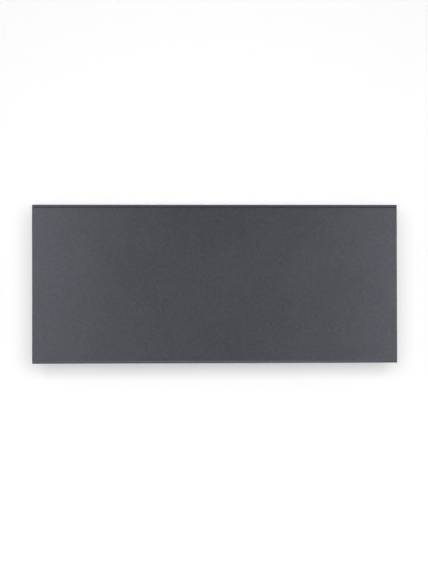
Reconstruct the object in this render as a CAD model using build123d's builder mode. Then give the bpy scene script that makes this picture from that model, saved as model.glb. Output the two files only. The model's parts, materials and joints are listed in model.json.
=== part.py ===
from build123d import *
import os
from math import cos, radians, sin, sqrt, tan

# Slim electric panel heater that hangs on a wall bracket, in millimetres.
# X runs to the right seen from the room, Y from the room to the wall, Z up.
# The wall is at y = 0, and the origin is the middle of the four wall screws.

# Overall size
width = 775.0  # front panel, side to side
front_height = 332.0  # front panel, bottom edge to top edge
rim_height = 5.0  # grille standing above the front panel
depth = 84.0  # wall to front face
wall_gap = 24.0  # wall to the back of the casing

# Front panel
front_sheet = 1.2
front_flange = 14.0  # front face to the free end of the folded edge
edge_bend = 2.5  # outer radius along the top and the sides
bottom_bend = 6.0  # outer radius along the bottom

# Rear casing and end plates
case_sheet = 0.8
case_bend = 1.6  # outer radius
case_setback = 8.0  # front face to the front of the casing
case_lip = 12.0  # upturned front edge of the casing floor
side_gap = 3.8  # shadow gap, front panel edge to end plate
under_gap = 2.0  # shadow gap, front panel edge to casing floor
end_flange = 12.0
rib_width = 18.0
rib_depth = 2.0
rib_margin = 46.0  # end of a rib to the end of the hot chamber
rib_height = 40.0  # ribs above and below the middle of the bracket
inlet_width = 6.0
inlet_length = 36.0
inlet_pitch = 18.0
inlet_margin = 24.0  # end of the row of slots to the end of its chamber
bay_inlet_pitch = 12.0

# Top grille
grille_sheet = 0.8
grille_bend = 1.6  # outer radius
rim_setback = 3.0  # front face to the grille rim
rim_clearance = 0.3  # grille rim above the front panel
grille_skirt = 14.0  # rear skirt over the back of the casing
outlet_width = 6.0
outlet_length = 36.0
outlet_pitch = 14.0
outlet_margin = 12.0  # end of the row of slots to the end plate or the controls

# Wall bracket
bracket_sheet = 1.5
bracket_bend = 2.5  # outer radius
bracket_inset = 152.5  # end plate to the side of the bracket
bracket_lip = 10.0  # folded edge along the top and the bottom rail
bracket_rail = 44.0  # width of the rails and of the uprights
bracket_above_latch = 8.0
window_radius = 10.0
lower_screw_height = 93.5  # wall screws above the front panel's bottom edge
upper_screw_drop = 88.5  # wall screws below the front panel's top edge
wall_screw_inset = 30.0  # wall screws in from the side of the bracket
wall_slot_radius = 2.75
wall_slot_length = 10.0  # between the centres of a slot's round ends
hook_above_floor = 19.3  # hook notch above the underside of the casing
hook_arm = 9.0
hook_tip = 6.0
hook_front = 2.0  # thickness of the tip at its top
tilt_limit = 30.0  # degrees
tilt_spare = 3.0  # degrees, slope of the tip beyond the limit
hang_gap = 0.3  # heater to bracket
notch_fit = 0.4  # casing edge above the hook notch
notch_gap = 0.5  # casing wall to the hook tip
slot_side_gap = 1.75  # hook or spring to the side of its slot
hook_slot_spare = 4.5  # slot below the hook's arm, for the tilt

# Snap springs
spring_sheet = 0.6
spring_width = 14.0
spring_inset = 12.0  # middle of the spring in from the side of the bracket
spring_bend = 2.0
spring_foot = 26.0
spring_reach = 18.0  # top of the foot below the latch slot's upper edge
nose_back = 3.0  # catch slope behind the casing wall
nose_front = 3.5  # catch slope in front of it
nose_lead = 5.5  # sloping lead-in, both forward and down
latch_drop = 67.4  # top edge of the latch slot below the top of the casing
latch_slot = 13.0
rivet_radius = 1.6
rivet_head_radius = 2.8
rivet_head = 1.0
rivet_pitch = 14.0

# Front fixings
clip_sheet = 1.0
clip_foot = 14.0
clip_tongue = 4.0
clip_rise = 18.0  # foot, bottom to top
clip_hook = 9.0
clip_margin = 45.0  # clips from the top and bottom edges of the front panel
clip_fit = 0.1
front_screw_radius = 1.5
front_screw_length = 10.0
front_screw_margin = 80.0  # screws in from the end plates
spacer_radius = 4.0

# Hot chamber and heating element
bay_length = 124.0  # electrical bay, end plate to partition
partition_flange = 10.0
shield_sheet = 0.5
shield_standoff = 7.2  # back of the casing to the shield
shield_foot = 9.0
shield_base = 37.3  # foot of the shield above the floor
shield_top_gap = 84.0  # shield to the top of the casing
shield_margin = 62.5  # left end of the shield in from the end plate
shield_end_gap = 8.0
element_height = 60.3  # element above the underside of the casing
element_setback = 32.0  # front face to the axis of the element
core_radius = 4.25
hub_radius = 6.0
fin_sheet = 1.2
fin_reach = 25.0  # axis to the tip of a fin
fin_length = 20.0
fin_pitch = 26.0
fin_spread = 52.0  # degrees, opening of the X
fin_stagger = 9.0  # degrees, between one set of fins and the next
element_gap = 17.0  # fins to the plates that carry the element
core_overhang = 13.0  # core beyond the plates that carry it
pin_radius = 1.0
pin_length = 10.0
pin_spacing = 4.0
bracket_plate = 1.0
bracket_foot = 12.0
bush_hole = 9.5
bush_flange = 2.6
bush_flange_radius = 12.0
bush_fit = 0.1
cutout_above_element = 42.0
cutout_radius = 7.5
cutout_depth = 12.0
cap_radius = 8.0
cap_height = 4.0
cap_flange_radius = 11.0
cap_flange = 0.8

# Screws
screw_radius = 1.6
screw_head_radius = 3.4
screw_head = 1.8
screw_length = 6.0
screw_fit = 0.1

# Electrical bay
board_sheet = 1.6
board_length = 86.0
board_height = 90.0
board_standoff = 7.0
board_rise = 52.0  # middle of the board above the wall screws' middle
board_margin = 5.0  # pillars in from the board's edges
pillar_radius = 3.2
relay_size = (20.0, 16.0, 16.0)
transformer_size = (30.0, 26.0, 22.0)
capacitor_radius = 6.0
capacitor_height = 16.0
board_terminal_size = (40.0, 10.0, 10.0)
block_size = (42.0, 20.0, 16.0)
block_height = 60.3  # terminal block above the underside of the casing
block_pitch = 12.0
block_bore = 1.6
block_well = 2.6
gland_radius = 6.5
gland_flange_radius = 8.5
gland_flange = 1.8
gland_bore = 3.75
gland_length = 14.0
gland_from_front = 34.0  # front face to the middle of the gland
gland_from_end = 64.0
earth_height = 30.0
earth_tag_size = (8.0, 18.0, 0.8)
sensor_from_end = 34.0
sensor_radius = 2.0
sensor_length = 9.0
sensor_holder_size = (9.0, 10.0, 16.0)

# Mains switch in the right end plate
switch_height = 125.0  # above the front panel's bottom edge
switch_from_wall = 47.0
switch_width = 13.0
switch_length = 19.6
switch_depth = 16.0
switch_wall = 1.2
switch_fit = 0.2
bezel_rim = 2.0
bezel_sheet = 1.2
rocker_fit = 0.2
rocker_tilt = 8.0  # degrees either side of the middle
rocker_corner = 25.0  # degrees, rocker's end corners seen from its pin
rocker_proud = 0.3
rocker_pin_radius = 1.0
rocker_pin = 0.8
blade_size = (6.0, 4.8, 0.8)

# Control unit
control_from_edge = 45.5  # middle of the unit in from the right edge
control_from_front = 34.0  # front face to the middle of the unit
fascia_length = 72.0
fascia_depth = 32.0
fascia_corner = 3.0
fascia_gap = 0.3
fascia_flange = 3.0
fascia_sheet = 1.6
fascia_sink = 0.2  # top of the fascia below the top of the grille
pocket_depth = 0.8
pocket_margin = 2.0
housing_wall = 1.6
housing_height = 24.0
post_size = 5.0
boss_size = 9.0
boss_pitch = 40.0
boss_drop = 16.0
boss_screw = 6.0
button_size = 9.0
button_pitch = 12.0
button_offset = 17.0  # middle button right of the middle of the unit
button_fit = 0.2
button_collar = 1.0
button_collar_sheet = 0.8
button_travel = 0.5
button_rest_gap = 0.1
stem_radius = 1.6
stem_length = 2.0
plunger_radius = 1.75
plunger_height = 1.5
plunger_depth = 1.5
plunger_fit = 0.15
tact_size = 6.2
tact_height = 3.5
window_length = 26.0
window_depth = 14.0
window_offset = -19.0  # middle of the window from the middle of the unit
window_collar = 1.4
window_collar_sheet = 0.8
window_fit = 0.1
display_gap = 0.3
control_board_gap = 1.2
wifi_size = (18.0, 16.0, 2.4)

# Wires
wire_radius = 1.1
wire_bend = 9.0
wire_fit = 0.2
ribbon_width = 12.0
ribbon_sheet = 1.0
ribbon_bend = 4.0
ribbon_slot = 2.0
twin_width = 2.6
twin_sheet = 1.3
twin_reach = 22.0  # sensor lead in front of the back of the casing's inside

# Heights, worked out from the sizes above
screw_spacing_z = front_height - lower_screw_height - upper_screw_drop
z_bottom = -lower_screw_height - screw_spacing_z / 2
z_front_top = z_bottom + front_height
z_top = z_front_top + rim_height
z_grille_under = z_top - grille_sheet
z_rim = z_front_top + rim_clearance
z_floor = z_bottom + front_sheet + under_gap
z_floor_inner = z_floor + case_sheet
z_stand = z_floor + case_bend
z_case_top = z_top - grille_bend
z_notch = z_front_top - front_sheet - under_gap
z_hook = z_floor + hook_above_floor
z_latch = z_case_top - latch_drop
z_element = z_floor + element_height
z_cutout = z_element + cutout_above_element
z_switch = z_bottom + switch_height
z_fascia_under = z_grille_under - fascia_sheet

# Depths, negative towards the room
y_front = -depth
y_front_back = y_front + front_sheet
y_rim = y_front + rim_setback
y_case_front = y_front + case_setback
y_plate_front = y_case_front + case_sheet
y_case_back = -wall_gap
y_case_inner = y_case_back - case_sheet
y_skirt = y_case_back + grille_sheet
y_element = y_front + element_setback
y_board = y_case_inner - board_standoff
y_board_face = y_board - board_sheet
y_control = y_front + control_from_front
y_switch = -switch_from_wall
y_bracket = y_case_back + hang_gap

# Places along the heater
x_end = width / 2 - front_sheet - side_gap
x_partition = x_end - bay_length
x_bay = x_end - bay_length / 2
x_bracket = x_end - bracket_inset
x_hook = x_bracket - bracket_sheet / 2
x_spring = x_bracket - spring_inset
x_control = width / 2 - control_from_edge
half_sheet = case_sheet / 2

os.makedirs("parts", exist_ok=True)


def wall_plane(y):
    """Plane parallel to the wall at that y, facing the room."""
    return Plane.XZ.offset(-y)


def small_round(radius):
    """Eight-sided outline for fasteners, their holes and pins, which keeps their facets few."""
    return RegularPolygon(radius, 8)


def small_bore(radius):
    """The same outline, cut out of the sketch."""
    return RegularPolygon(radius, 8, mode=Mode.SUBTRACT)


# Folded trays: a sheet with its four edges bent up, mitred where they meet
def tray_block(length, breadth, height, bend, far_bend):
    """Block on XY whose lower edges are rounded; the one at +Y may have its own radius."""
    with BuildPart() as block:
        with BuildSketch(Plane.YZ) as side_view:
            Rectangle(breadth, height, align=(Align.CENTER, Align.MIN))
            fillet(side_view.vertices().group_by(Axis.Y)[0].sort_by(Axis.X)[-1], far_bend)
            fillet(side_view.vertices().group_by(Axis.Y)[0].sort_by(Axis.X)[0], bend)
        extrude(amount=length / 2, both=True)
        with BuildSketch(Plane.XZ) as end_view:
            Rectangle(length, height, align=(Align.CENTER, Align.MIN))
            fillet(end_view.vertices().group_by(Axis.Y)[0], bend)
        extrude(amount=breadth / 2, both=True, mode=Mode.INTERSECT)
    return block.part


def folded_tray(length, breadth, height, sheet, bend, far_bend):
    """Tray of one folded sheet: its web on XY, its edges bent up along +Z."""
    outside = tray_block(length, breadth, height, bend, far_bend)
    hollow = tray_block(length - 2 * sheet, breadth - 2 * sheet, height, bend - sheet, far_bend - sheet)
    with BuildPart() as tray:
        add(outside)
        with Locations((0, 0, sheet)):
            add(hollow, mode=Mode.SUBTRACT)
    return tray.part


# Front panel: a tray open to the back, with its larger bend along the bottom
front_tray = folded_tray(width, front_height, front_flange, front_sheet, edge_bend, bottom_bend)
z_front_middle = (z_bottom + z_front_top) / 2
y_front_screw = (y_case_front + y_front + front_flange) / 2
x_front_screw = x_end - front_screw_margin
front_screw_points = [(-x_front_screw, y_front_screw), (x_front_screw, y_front_screw)]

with BuildPart() as front_panel:
    with Locations(Plane(origin=(0, y_front, z_front_middle), x_dir=(1, 0, 0), z_dir=(0, 1, 0))):
        add(front_tray)
    with BuildSketch(Plane.XY.offset(z_bottom)):
        with Locations(*front_screw_points):
            small_round(front_screw_radius + front_sheet + screw_fit)
    extrude(amount=front_sheet, taper=45, mode=Mode.SUBTRACT)
front_panel.part.label = "front_panel"
export_step(front_panel.part, "parts/front_panel.step")

with BuildPart() as front_screws:
    with BuildSketch(Plane.XY.offset(z_bottom)):
        with Locations(*front_screw_points):
            small_round(front_screw_radius + front_sheet)
    extrude(amount=front_sheet, taper=45)
    with BuildSketch(Plane.XY.offset(z_bottom + front_sheet / 2)):
        with Locations(*front_screw_points):
            small_round(front_screw_radius)
    extrude(amount=front_screw_length)
front_screws.part.label = "front_screws"
export_step(front_screws.part, "parts/front_screws.step")

with BuildPart() as front_spacers:
    with BuildSketch(Plane.XY.offset(z_bottom + front_sheet)):
        with Locations(*front_screw_points):
            small_round(spacer_radius)
            small_bore(front_screw_radius + screw_fit)
    extrude(amount=under_gap)
front_spacers.part.label = "front_spacers"
export_step(front_spacers.part, "parts/front_spacers.step")

# Clips welded inside the front panel, hooked over the front flanges of the end plates
x_clip = x_end - end_flange / 2
clip_tops = (z_front_top - clip_margin, z_bottom + clip_margin + clip_rise)
y_clip_hook = y_plate_front + case_sheet + clip_fit + clip_sheet / 2

with BuildPart() as front_clip:
    with BuildSketch(wall_plane(y_front_back)):
        Rectangle(clip_foot, clip_rise, align=(Align.CENTER, Align.MAX))
    extrude(amount=-clip_sheet)
    with BuildSketch(Plane.YZ):
        with BuildLine():
            Polyline(
                (y_front_back + clip_sheet / 2, -clip_hook),
                (y_front_back + clip_sheet / 2, -clip_sheet / 2),
                (y_clip_hook, -clip_sheet / 2),
                (y_clip_hook, -clip_hook),
            )
        trace(line_width=clip_sheet)
    extrude(amount=clip_tongue / 2, both=True)

with BuildPart() as front_clips:
    with Locations(*[(x, 0, z) for x in (-x_clip, x_clip) for z in clip_tops]):
        add(front_clip.part)
front_clips.part.label = "front_clips"
export_step(front_clips.part, "parts/front_clips.step")

# Rear casing: back, floor and front lip in one sheet, with pressed ribs and slots
chamber_middle = (x_partition - x_end) / 2
chamber_length = x_partition + x_end
y_inlet = (y_case_inner + y_plate_front) / 2
inlet_count = int((chamber_length - 2 * inlet_margin) / inlet_pitch)
x_gland = x_end - gland_from_end
y_gland = y_front + gland_from_front
x_sensor = x_end - sensor_from_end
x_side_screw = x_end - end_flange / 2
z_side_screw = z_latch
z_skirt_screw = z_top - grille_bend - (grille_skirt - grille_bend) / 2
skirt_screw_places = [(x, z_skirt_screw) for x in (-x_side_screw, -x_hook / 2, x_hook / 2, x_side_screw)]
side_screw_places = [(x, z) for x in (-x_side_screw, x_side_screw) for z in (-z_side_screw, z_side_screw)]
boss_places = [(x_control + x, z_fascia_under - boss_drop) for x in (-boss_pitch / 2, boss_pitch / 2)]
pillar_x = board_length / 2 - board_margin
pillar_z = board_height / 2 - board_margin
pillar_places = [(x_bay + x, board_rise + z) for x in (-pillar_x, pillar_x) for z in (-pillar_z, pillar_z)]

with BuildPart() as rear_casing:
    with BuildSketch(Plane.YZ):
        with BuildLine():
            FilletPolyline(
                (y_case_front + half_sheet, z_floor + case_lip),
                (y_case_front + half_sheet, z_floor + half_sheet),
                (y_case_back - half_sheet, z_floor + half_sheet),
                (y_case_back - half_sheet, z_case_top),
                radius=case_bend - half_sheet,
            )
        trace(line_width=case_sheet)
    extrude(amount=x_end, both=True)
    with BuildSketch(wall_plane(y_case_inner)):
        with Locations((chamber_middle, -rib_height), (chamber_middle, rib_height)):
            Rectangle(chamber_length - 2 * rib_margin, rib_width)
    extrude(amount=rib_depth, taper=45)
    with BuildSketch(wall_plane(y_case_back)):
        with Locations((chamber_middle, -rib_height), (chamber_middle, rib_height)):
            Rectangle(chamber_length - 2 * rib_margin - case_sheet, rib_width - case_sheet)
    extrude(amount=rib_depth, taper=45, mode=Mode.SUBTRACT)
    with BuildSketch(Plane.XY.offset(z_floor)):
        with Locations((chamber_middle, y_inlet)):
            with GridLocations(inlet_pitch, 1, inlet_count, 1):
                Rectangle(inlet_width, inlet_length)
        with Locations((x_sensor + bay_inlet_pitch / 2, y_inlet)):
            with GridLocations(bay_inlet_pitch, 1, 2, 1):
                Rectangle(inlet_width, inlet_length)
        with Locations((x_gland, y_gland)):
            small_round(gland_radius + screw_fit)
        with Locations(*front_screw_points):
            small_round(front_screw_radius + screw_fit)
    extrude(amount=case_sheet, mode=Mode.SUBTRACT)
    with BuildSketch(wall_plane(y_case_back)):
        with Locations((-x_hook, z_hook + notch_fit), (x_hook, z_hook + notch_fit)):
            Rectangle(
                bracket_sheet + 2 * slot_side_gap,
                notch_fit + hook_arm + hook_slot_spare,
                align=(Align.CENTER, Align.MAX),
            )
        with Locations((-x_spring, z_latch), (x_spring, z_latch)):
            Rectangle(spring_width + 2 * slot_side_gap, latch_slot, align=(Align.CENTER, Align.MAX))
        with Locations(*skirt_screw_places, *side_screw_places, *boss_places, *pillar_places):
            small_round(screw_radius + screw_fit)
    extrude(amount=case_sheet, mode=Mode.SUBTRACT)
rear_casing.part.label = "rear_casing"
export_step(rear_casing.part, "parts/rear_casing.step")

# Top grille: a shallow lid with outlet slots, a front rim and a longer rear skirt
grille_depth = y_skirt - y_rim
grille_tray = folded_tray(width, grille_depth, z_top - z_rim, grille_sheet, grille_bend, grille_bend)
outlet_left = -x_end + outlet_margin
outlet_right = x_control - fascia_length / 2 - outlet_margin
outlet_count = int((outlet_right - outlet_left) / outlet_pitch)

with BuildPart() as top_grille:
    with Locations(Plane(origin=(0, y_skirt - grille_depth / 2, z_top), x_dir=(1, 0, 0), z_dir=(0, 0, -1))):
        add(grille_tray)
    with BuildSketch(wall_plane(y_skirt)):
        with Locations((0, z_rim)):
            Rectangle(width, grille_skirt - z_top + z_rim, align=(Align.CENTER, Align.MAX))
    extrude(amount=grille_sheet)
    with BuildSketch(Plane.XY.offset(z_top)):
        with Locations(((outlet_left + outlet_right) / 2, y_control)):
            with GridLocations(outlet_pitch, 1, outlet_count, 1):
                Rectangle(outlet_width, outlet_length)
        with Locations((x_control, y_control)):
            RectangleRounded(fascia_length + 2 * fascia_gap, fascia_depth + 2 * fascia_gap, fascia_corner)
    extrude(amount=-grille_sheet, mode=Mode.SUBTRACT)
    with BuildSketch(wall_plane(y_skirt)):
        with Locations(*skirt_screw_places):
            small_round(screw_radius + screw_fit)
    extrude(amount=grille_sheet, mode=Mode.SUBTRACT)
top_grille.part.label = "top_grille"
export_step(top_grille.part, "parts/top_grille.step")

# End plates: trays open to the inside, cut away at the top and round the front panel's edge
plate_depth = y_case_inner - y_plate_front
plate_height = z_case_top - z_stand
y_plate = (y_case_inner + y_plate_front) / 2
z_plate = (z_stand + z_case_top) / 2
end_tray = folded_tray(plate_depth, plate_height, end_flange, case_sheet, case_bend, case_bend)
y_notch = y_front + front_flange + under_gap

with BuildPart() as plain_end:
    with Locations(Plane(origin=(x_end, y_plate, z_plate), x_dir=(0, 1, 0), z_dir=(-1, 0, 0))):
        add(end_tray)
    with BuildSketch(Plane.XZ.offset(-y_case_inner)):
        with Locations((x_end - case_sheet, z_case_top)):
            Rectangle(end_flange, case_bend, align=(Align.MAX, Align.MAX))
    extrude(amount=plate_depth, mode=Mode.SUBTRACT)
    with BuildSketch(Plane.YZ.offset(x_end - end_flange)):
        with Locations((y_notch, z_notch)):
            Rectangle(plate_depth, plate_height, align=(Align.MAX, Align.MIN))
    extrude(amount=end_flange, mode=Mode.SUBTRACT)
    with BuildSketch(wall_plane(y_plate_front)):
        with Locations(*[(x_clip, z - clip_sheet - clip_fit) for z in clip_tops]):
            Rectangle(clip_tongue + clip_sheet, clip_hook + 2 * clip_sheet, align=(Align.CENTER, Align.MIN))
    extrude(amount=-case_sheet, mode=Mode.SUBTRACT)
    with BuildSketch(wall_plane(y_case_inner)):
        with Locations(*[(x_side_screw, z) for z in (z_skirt_screw, z_side_screw, -z_side_screw)]):
            small_round(screw_radius + screw_fit)
    extrude(amount=case_sheet, mode=Mode.SUBTRACT)

with BuildPart() as left_end_plate:
    add(mirror(plain_end.part, about=Plane.YZ, mode=Mode.PRIVATE))
left_end_plate.part.label = "left_end_plate"
export_step(left_end_plate.part, "parts/left_end_plate.step")

with BuildPart() as right_end_plate:
    add(plain_end.part)
    with BuildSketch(Plane.YZ.offset(x_end)):
        with Locations((y_switch, z_switch)):
            Rectangle(switch_width + 2 * switch_fit, switch_length + 2 * switch_fit)
    extrude(amount=-case_sheet, mode=Mode.SUBTRACT)
right_end_plate.part.label = "right_end_plate"
export_step(right_end_plate.part, "parts/right_end_plate.step")


# Hex-headed screws
def hex_screws(places, length):
    """One screw for each place: its head stands on the place's XY plane, its shank goes below."""
    with BuildPart() as screw:
        with BuildSketch():
            RegularPolygon(screw_head_radius, 6)
        extrude(amount=screw_head)
        with BuildSketch():
            small_round(screw_radius)
        extrude(amount=-length)
    with BuildPart() as screws:
        with Locations(*places):
            add(screw.part)
    return screws.part


def from_behind(points, y):
    """Places on a face at that y, seen from the wall."""
    return [Location((x, y, z), (-90, 0, 0)) for x, z in points]


def from_room(points, y):
    """Places on a face at that y, seen from the room."""
    return [Location((x, y, z), (90, 0, 0)) for x, z in points]


with BuildPart() as casing_screws:
    add(hex_screws(from_behind(skirt_screw_places, y_skirt), screw_length))
    add(hex_screws(from_behind(side_screw_places, y_case_back), screw_length))
casing_screws.part.label = "casing_screws"
export_step(casing_screws.part, "parts/casing_screws.step")

# Partition between the hot chamber and the electrical bay
with BuildPart() as partition_plate:
    with BuildSketch(Plane.XY.offset(z_stand)):
        with BuildLine():
            FilletPolyline(
                (x_partition + partition_flange, y_case_inner - half_sheet),
                (x_partition + half_sheet, y_case_inner - half_sheet),
                (x_partition + half_sheet, y_plate_front),
                radius=case_bend - half_sheet,
            )
        trace(line_width=case_sheet)
    extrude(amount=plate_height)
    with BuildSketch(Plane.YZ.offset(x_partition)):
        with Locations((y_element, z_element)):
            small_round(bush_hole)
        with Locations((y_element, z_cutout)):
            small_round(cutout_radius + bush_fit)
        with Locations((y_notch, z_notch)):
            Rectangle(plate_depth, plate_height, align=(Align.MAX, Align.MIN))
    extrude(amount=case_sheet, mode=Mode.SUBTRACT)
partition_plate.part.label = "partition_plate"
export_step(partition_plate.part, "parts/partition_plate.step")

# Heat shield: a thin hat section behind the element
y_shield_foot = y_case_inner - shield_sheet / 2
y_shield = y_case_inner - shield_standoff
z_shield_low = z_floor + shield_base
z_shield_high = z_case_top - shield_top_gap
shield_slope = shield_standoff / 2

with BuildPart() as heat_shield:
    with BuildSketch(Plane.YZ.offset(-x_end + shield_margin)):
        with BuildLine():
            Polyline(
                (y_shield_foot, z_shield_low),
                (y_shield_foot, z_shield_low + shield_foot),
                (y_shield, z_shield_low + shield_foot + shield_slope),
                (y_shield, z_shield_high - shield_foot - shield_slope),
                (y_shield_foot, z_shield_high - shield_foot),
                (y_shield_foot, z_shield_high),
            )
        trace(line_width=shield_sheet)
    extrude(amount=chamber_length - shield_margin - shield_end_gap)
heat_shield.part.label = "heat_shield"
export_step(heat_shield.part, "parts/heat_shield.step")

# Heating element: a sheathed rod in an aluminium hub, with sets of four fins that
# make an X and are turned a little, to and fro, from one set to the next
x_carrier = -x_end + shield_margin - element_gap
fins_left = x_carrier + bracket_plate + element_gap
fins_right = x_partition - element_gap
fins_middle = (fins_left + fins_right) / 2
fin_count = int((fins_right - fins_left) / fin_pitch)


def fin_set(turn):
    """Four fins round the axis of the element, opened like an X and turned by an angle."""
    half = fin_spread / 2
    with BuildPart() as fins:
        with BuildSketch(Plane.YZ):
            for angle in (90 - half, 90 + half, 270 - half, 270 + half):
                with Locations(Location((y_element, z_element, 0), (0, 0, angle + turn))):
                    with Locations((core_radius + fin_sheet, 0)):
                        Rectangle(fin_reach - core_radius - fin_sheet, fin_sheet, align=(Align.MIN, Align.CENTER))
        extrude(amount=fin_length / 2, both=True)
    return fins.part


fin_xs = [fins_middle + (step - (fin_count - 1) / 2) * fin_pitch for step in range(fin_count)]
forward_fins = fin_set(fin_stagger / 2)
backward_fins = fin_set(-fin_stagger / 2)

with BuildPart() as element_fins:
    with BuildSketch(Plane.YZ.offset(fins_left)):
        with Locations((y_element, z_element)):
            small_round(hub_radius)
            Circle(core_radius + bush_fit / 2, mode=Mode.SUBTRACT)
    extrude(amount=fins_right - fins_left)
    with Locations(*[(x, 0, 0) for x in fin_xs[::2]]):
        add(forward_fins)
    with Locations(*[(x, 0, 0) for x in fin_xs[1::2]]):
        add(backward_fins)
element_fins.part.label = "element_fins"
export_step(element_fins.part, "parts/element_fins.step")

core_left = x_carrier - core_overhang
core_right = x_partition + case_sheet + core_overhang
pin_offset = pin_spacing / 2

with BuildPart() as element_core:
    with BuildSketch(Plane.YZ.offset(core_left)):
        with Locations((y_element, z_element)):
            Circle(core_radius)
    extrude(amount=core_right - core_left)
element_core.part.label = "element_core"
export_step(element_core.part, "parts/element_core.step")

with BuildPart() as element_pins:
    with BuildSketch(Plane.YZ.offset(core_right)):
        with Locations((y_element, z_element + pin_offset), (y_element, z_element - pin_offset)):
            small_round(pin_radius)
    extrude(amount=pin_length)
element_pins.part.label = "element_pins"
export_step(element_pins.part, "parts/element_pins.step")

with BuildPart() as element_bracket:
    with BuildSketch(Plane.XY.offset(z_element)):
        with BuildLine():
            FilletPolyline(
                (x_carrier - bracket_foot, y_case_inner - bracket_plate / 2),
                (x_carrier + bracket_plate / 2, y_case_inner - bracket_plate / 2),
                (x_carrier + bracket_plate / 2, y_element - bush_flange_radius - bracket_plate),
                radius=bracket_plate,
            )
        trace(line_width=bracket_plate)
    extrude(amount=bush_flange_radius + bracket_plate, both=True)
    with BuildSketch(Plane.YZ.offset(x_carrier)):
        with Locations((y_element, z_element)):
            small_round(bush_hole)
    extrude(amount=bracket_plate, mode=Mode.SUBTRACT)
element_bracket.part.label = "element_bracket"
export_step(element_bracket.part, "parts/element_bracket.step")


def element_bush(x_plate, plate):
    """Eight-sided ceramic bush with a groove for the plate and a bore for the rod."""
    with BuildPart() as bush:
        with BuildSketch(Plane.YZ.offset(x_plate - bush_flange)):
            with Locations((y_element, z_element)):
                small_round(bush_hole - bush_fit)
        extrude(amount=plate + 2 * bush_flange)
        with BuildSketch(Plane.YZ.offset(x_plate - bush_flange), Plane.YZ.offset(x_plate + plate)):
            with Locations((y_element, z_element)):
                small_round(bush_flange_radius)
        extrude(amount=bush_flange)
        with BuildSketch(Plane.YZ.offset(x_plate - bush_flange)):
            with Locations((y_element, z_element)):
                Circle(core_radius + bush_fit / 2)
        extrude(amount=plate + 2 * bush_flange, mode=Mode.SUBTRACT)
    return bush.part


with BuildPart() as element_bush_left:
    add(element_bush(x_carrier, bracket_plate))
element_bush_left.part.label = "element_bush_left"
export_step(element_bush_left.part, "parts/element_bush_left.step")

with BuildPart() as element_bush_right:
    add(element_bush(x_partition, case_sheet))
element_bush_right.part.label = "element_bush_right"
export_step(element_bush_right.part, "parts/element_bush_right.step")

# Thermal cut-out: its body in the bay, its aluminium cap in the hot chamber
blade_length, blade_width, blade_sheet = blade_size
cutout_blades = [(y_element - cutout_radius / 2, z_cutout), (y_element + cutout_radius / 2, z_cutout)]

with BuildPart() as thermal_cutout:
    with BuildSketch(Plane.YZ.offset(x_partition)):
        with Locations((y_element, z_cutout)):
            small_round(cutout_radius)
    extrude(amount=cutout_depth)
    with BuildSketch(Plane.YZ.offset(x_partition + cutout_depth)):
        with Locations(*cutout_blades):
            Rectangle(blade_sheet, blade_width)
    extrude(amount=blade_length)
thermal_cutout.part.label = "thermal_cutout"
export_step(thermal_cutout.part, "parts/thermal_cutout.step")

with BuildPart() as cutout_cap:
    with BuildSketch(Plane.YZ.offset(x_partition)):
        with Locations((y_element, z_cutout)):
            Rectangle(2 * cap_flange_radius, 2 * cutout_radius)
    extrude(amount=-cap_flange)
    with BuildSketch(Plane.YZ.offset(x_partition - cap_flange)):
        with Locations((y_element, z_cutout)):
            Circle(cap_radius)
    extrude(amount=-cap_height)
cutout_cap.part.label = "cutout_cap"
export_step(cutout_cap.part, "parts/cutout_cap.step")

# Power board on four pillars, with its large components
with BuildPart() as board_pillars:
    with BuildSketch(wall_plane(y_case_inner)):
        with Locations(*pillar_places):
            small_round(pillar_radius)
            small_bore(screw_radius + screw_fit)
    extrude(amount=board_standoff)
board_pillars.part.label = "board_pillars"
export_step(board_pillars.part, "parts/board_pillars.step")

with BuildPart() as power_board:
    with BuildSketch(wall_plane(y_board)):
        with Locations((x_bay, board_rise)):
            Rectangle(board_length, board_height)
        with Locations(*pillar_places):
            small_bore(screw_radius + screw_fit)
    extrude(amount=board_sheet)
power_board.part.label = "power_board"
export_step(power_board.part, "parts/power_board.step")

with BuildPart() as board_screws:
    add(hex_screws(from_room(pillar_places, y_board_face), board_sheet + board_standoff / 2))
board_screws.part.label = "board_screws"
export_step(board_screws.part, "parts/board_screws.step")


def block_on_board(x, z, size):
    """Moulded component with broken edges, standing on the board's face."""
    length, height, thickness = size
    with BuildPart() as block:
        with BuildSketch(wall_plane(y_board_face)):
            with Locations((x, z)):
                Rectangle(length, height)
        extrude(amount=thickness)
        chamfer(block.faces().sort_by(Axis.Y)[0].edges(), board_sheet / 2)
    return block.part


with BuildPart() as relay:
    add(block_on_board(x_bay - board_length / 4, board_rise - board_height / 6, relay_size))
relay.part.label = "relay"
export_step(relay.part, "parts/relay.step")

with BuildPart() as transformer:
    add(block_on_board(x_bay + board_length / 6, board_rise, transformer_size))
transformer.part.label = "transformer"
export_step(transformer.part, "parts/transformer.step")

with BuildPart() as capacitor:
    with BuildSketch(wall_plane(y_board_face)):
        with Locations((x_bay - board_length / 4, board_rise + board_height / 5)):
            Circle(capacitor_radius)
    extrude(amount=capacitor_height)
capacitor.part.label = "capacitor"
export_step(capacitor.part, "parts/capacitor.step")

terminal_length, terminal_height, terminal_depth = board_terminal_size
z_board_low = board_rise - board_height / 2
z_terminal_low = z_board_low + board_margin + pillar_radius
z_wire_end = z_terminal_low + terminal_height / 2
y_terminal = y_board_face - terminal_depth / 2
terminal_xs = [x_bay + step * terminal_length / 4 for step in (-1.5, -0.5, 0.5, 1.5)]

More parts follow.
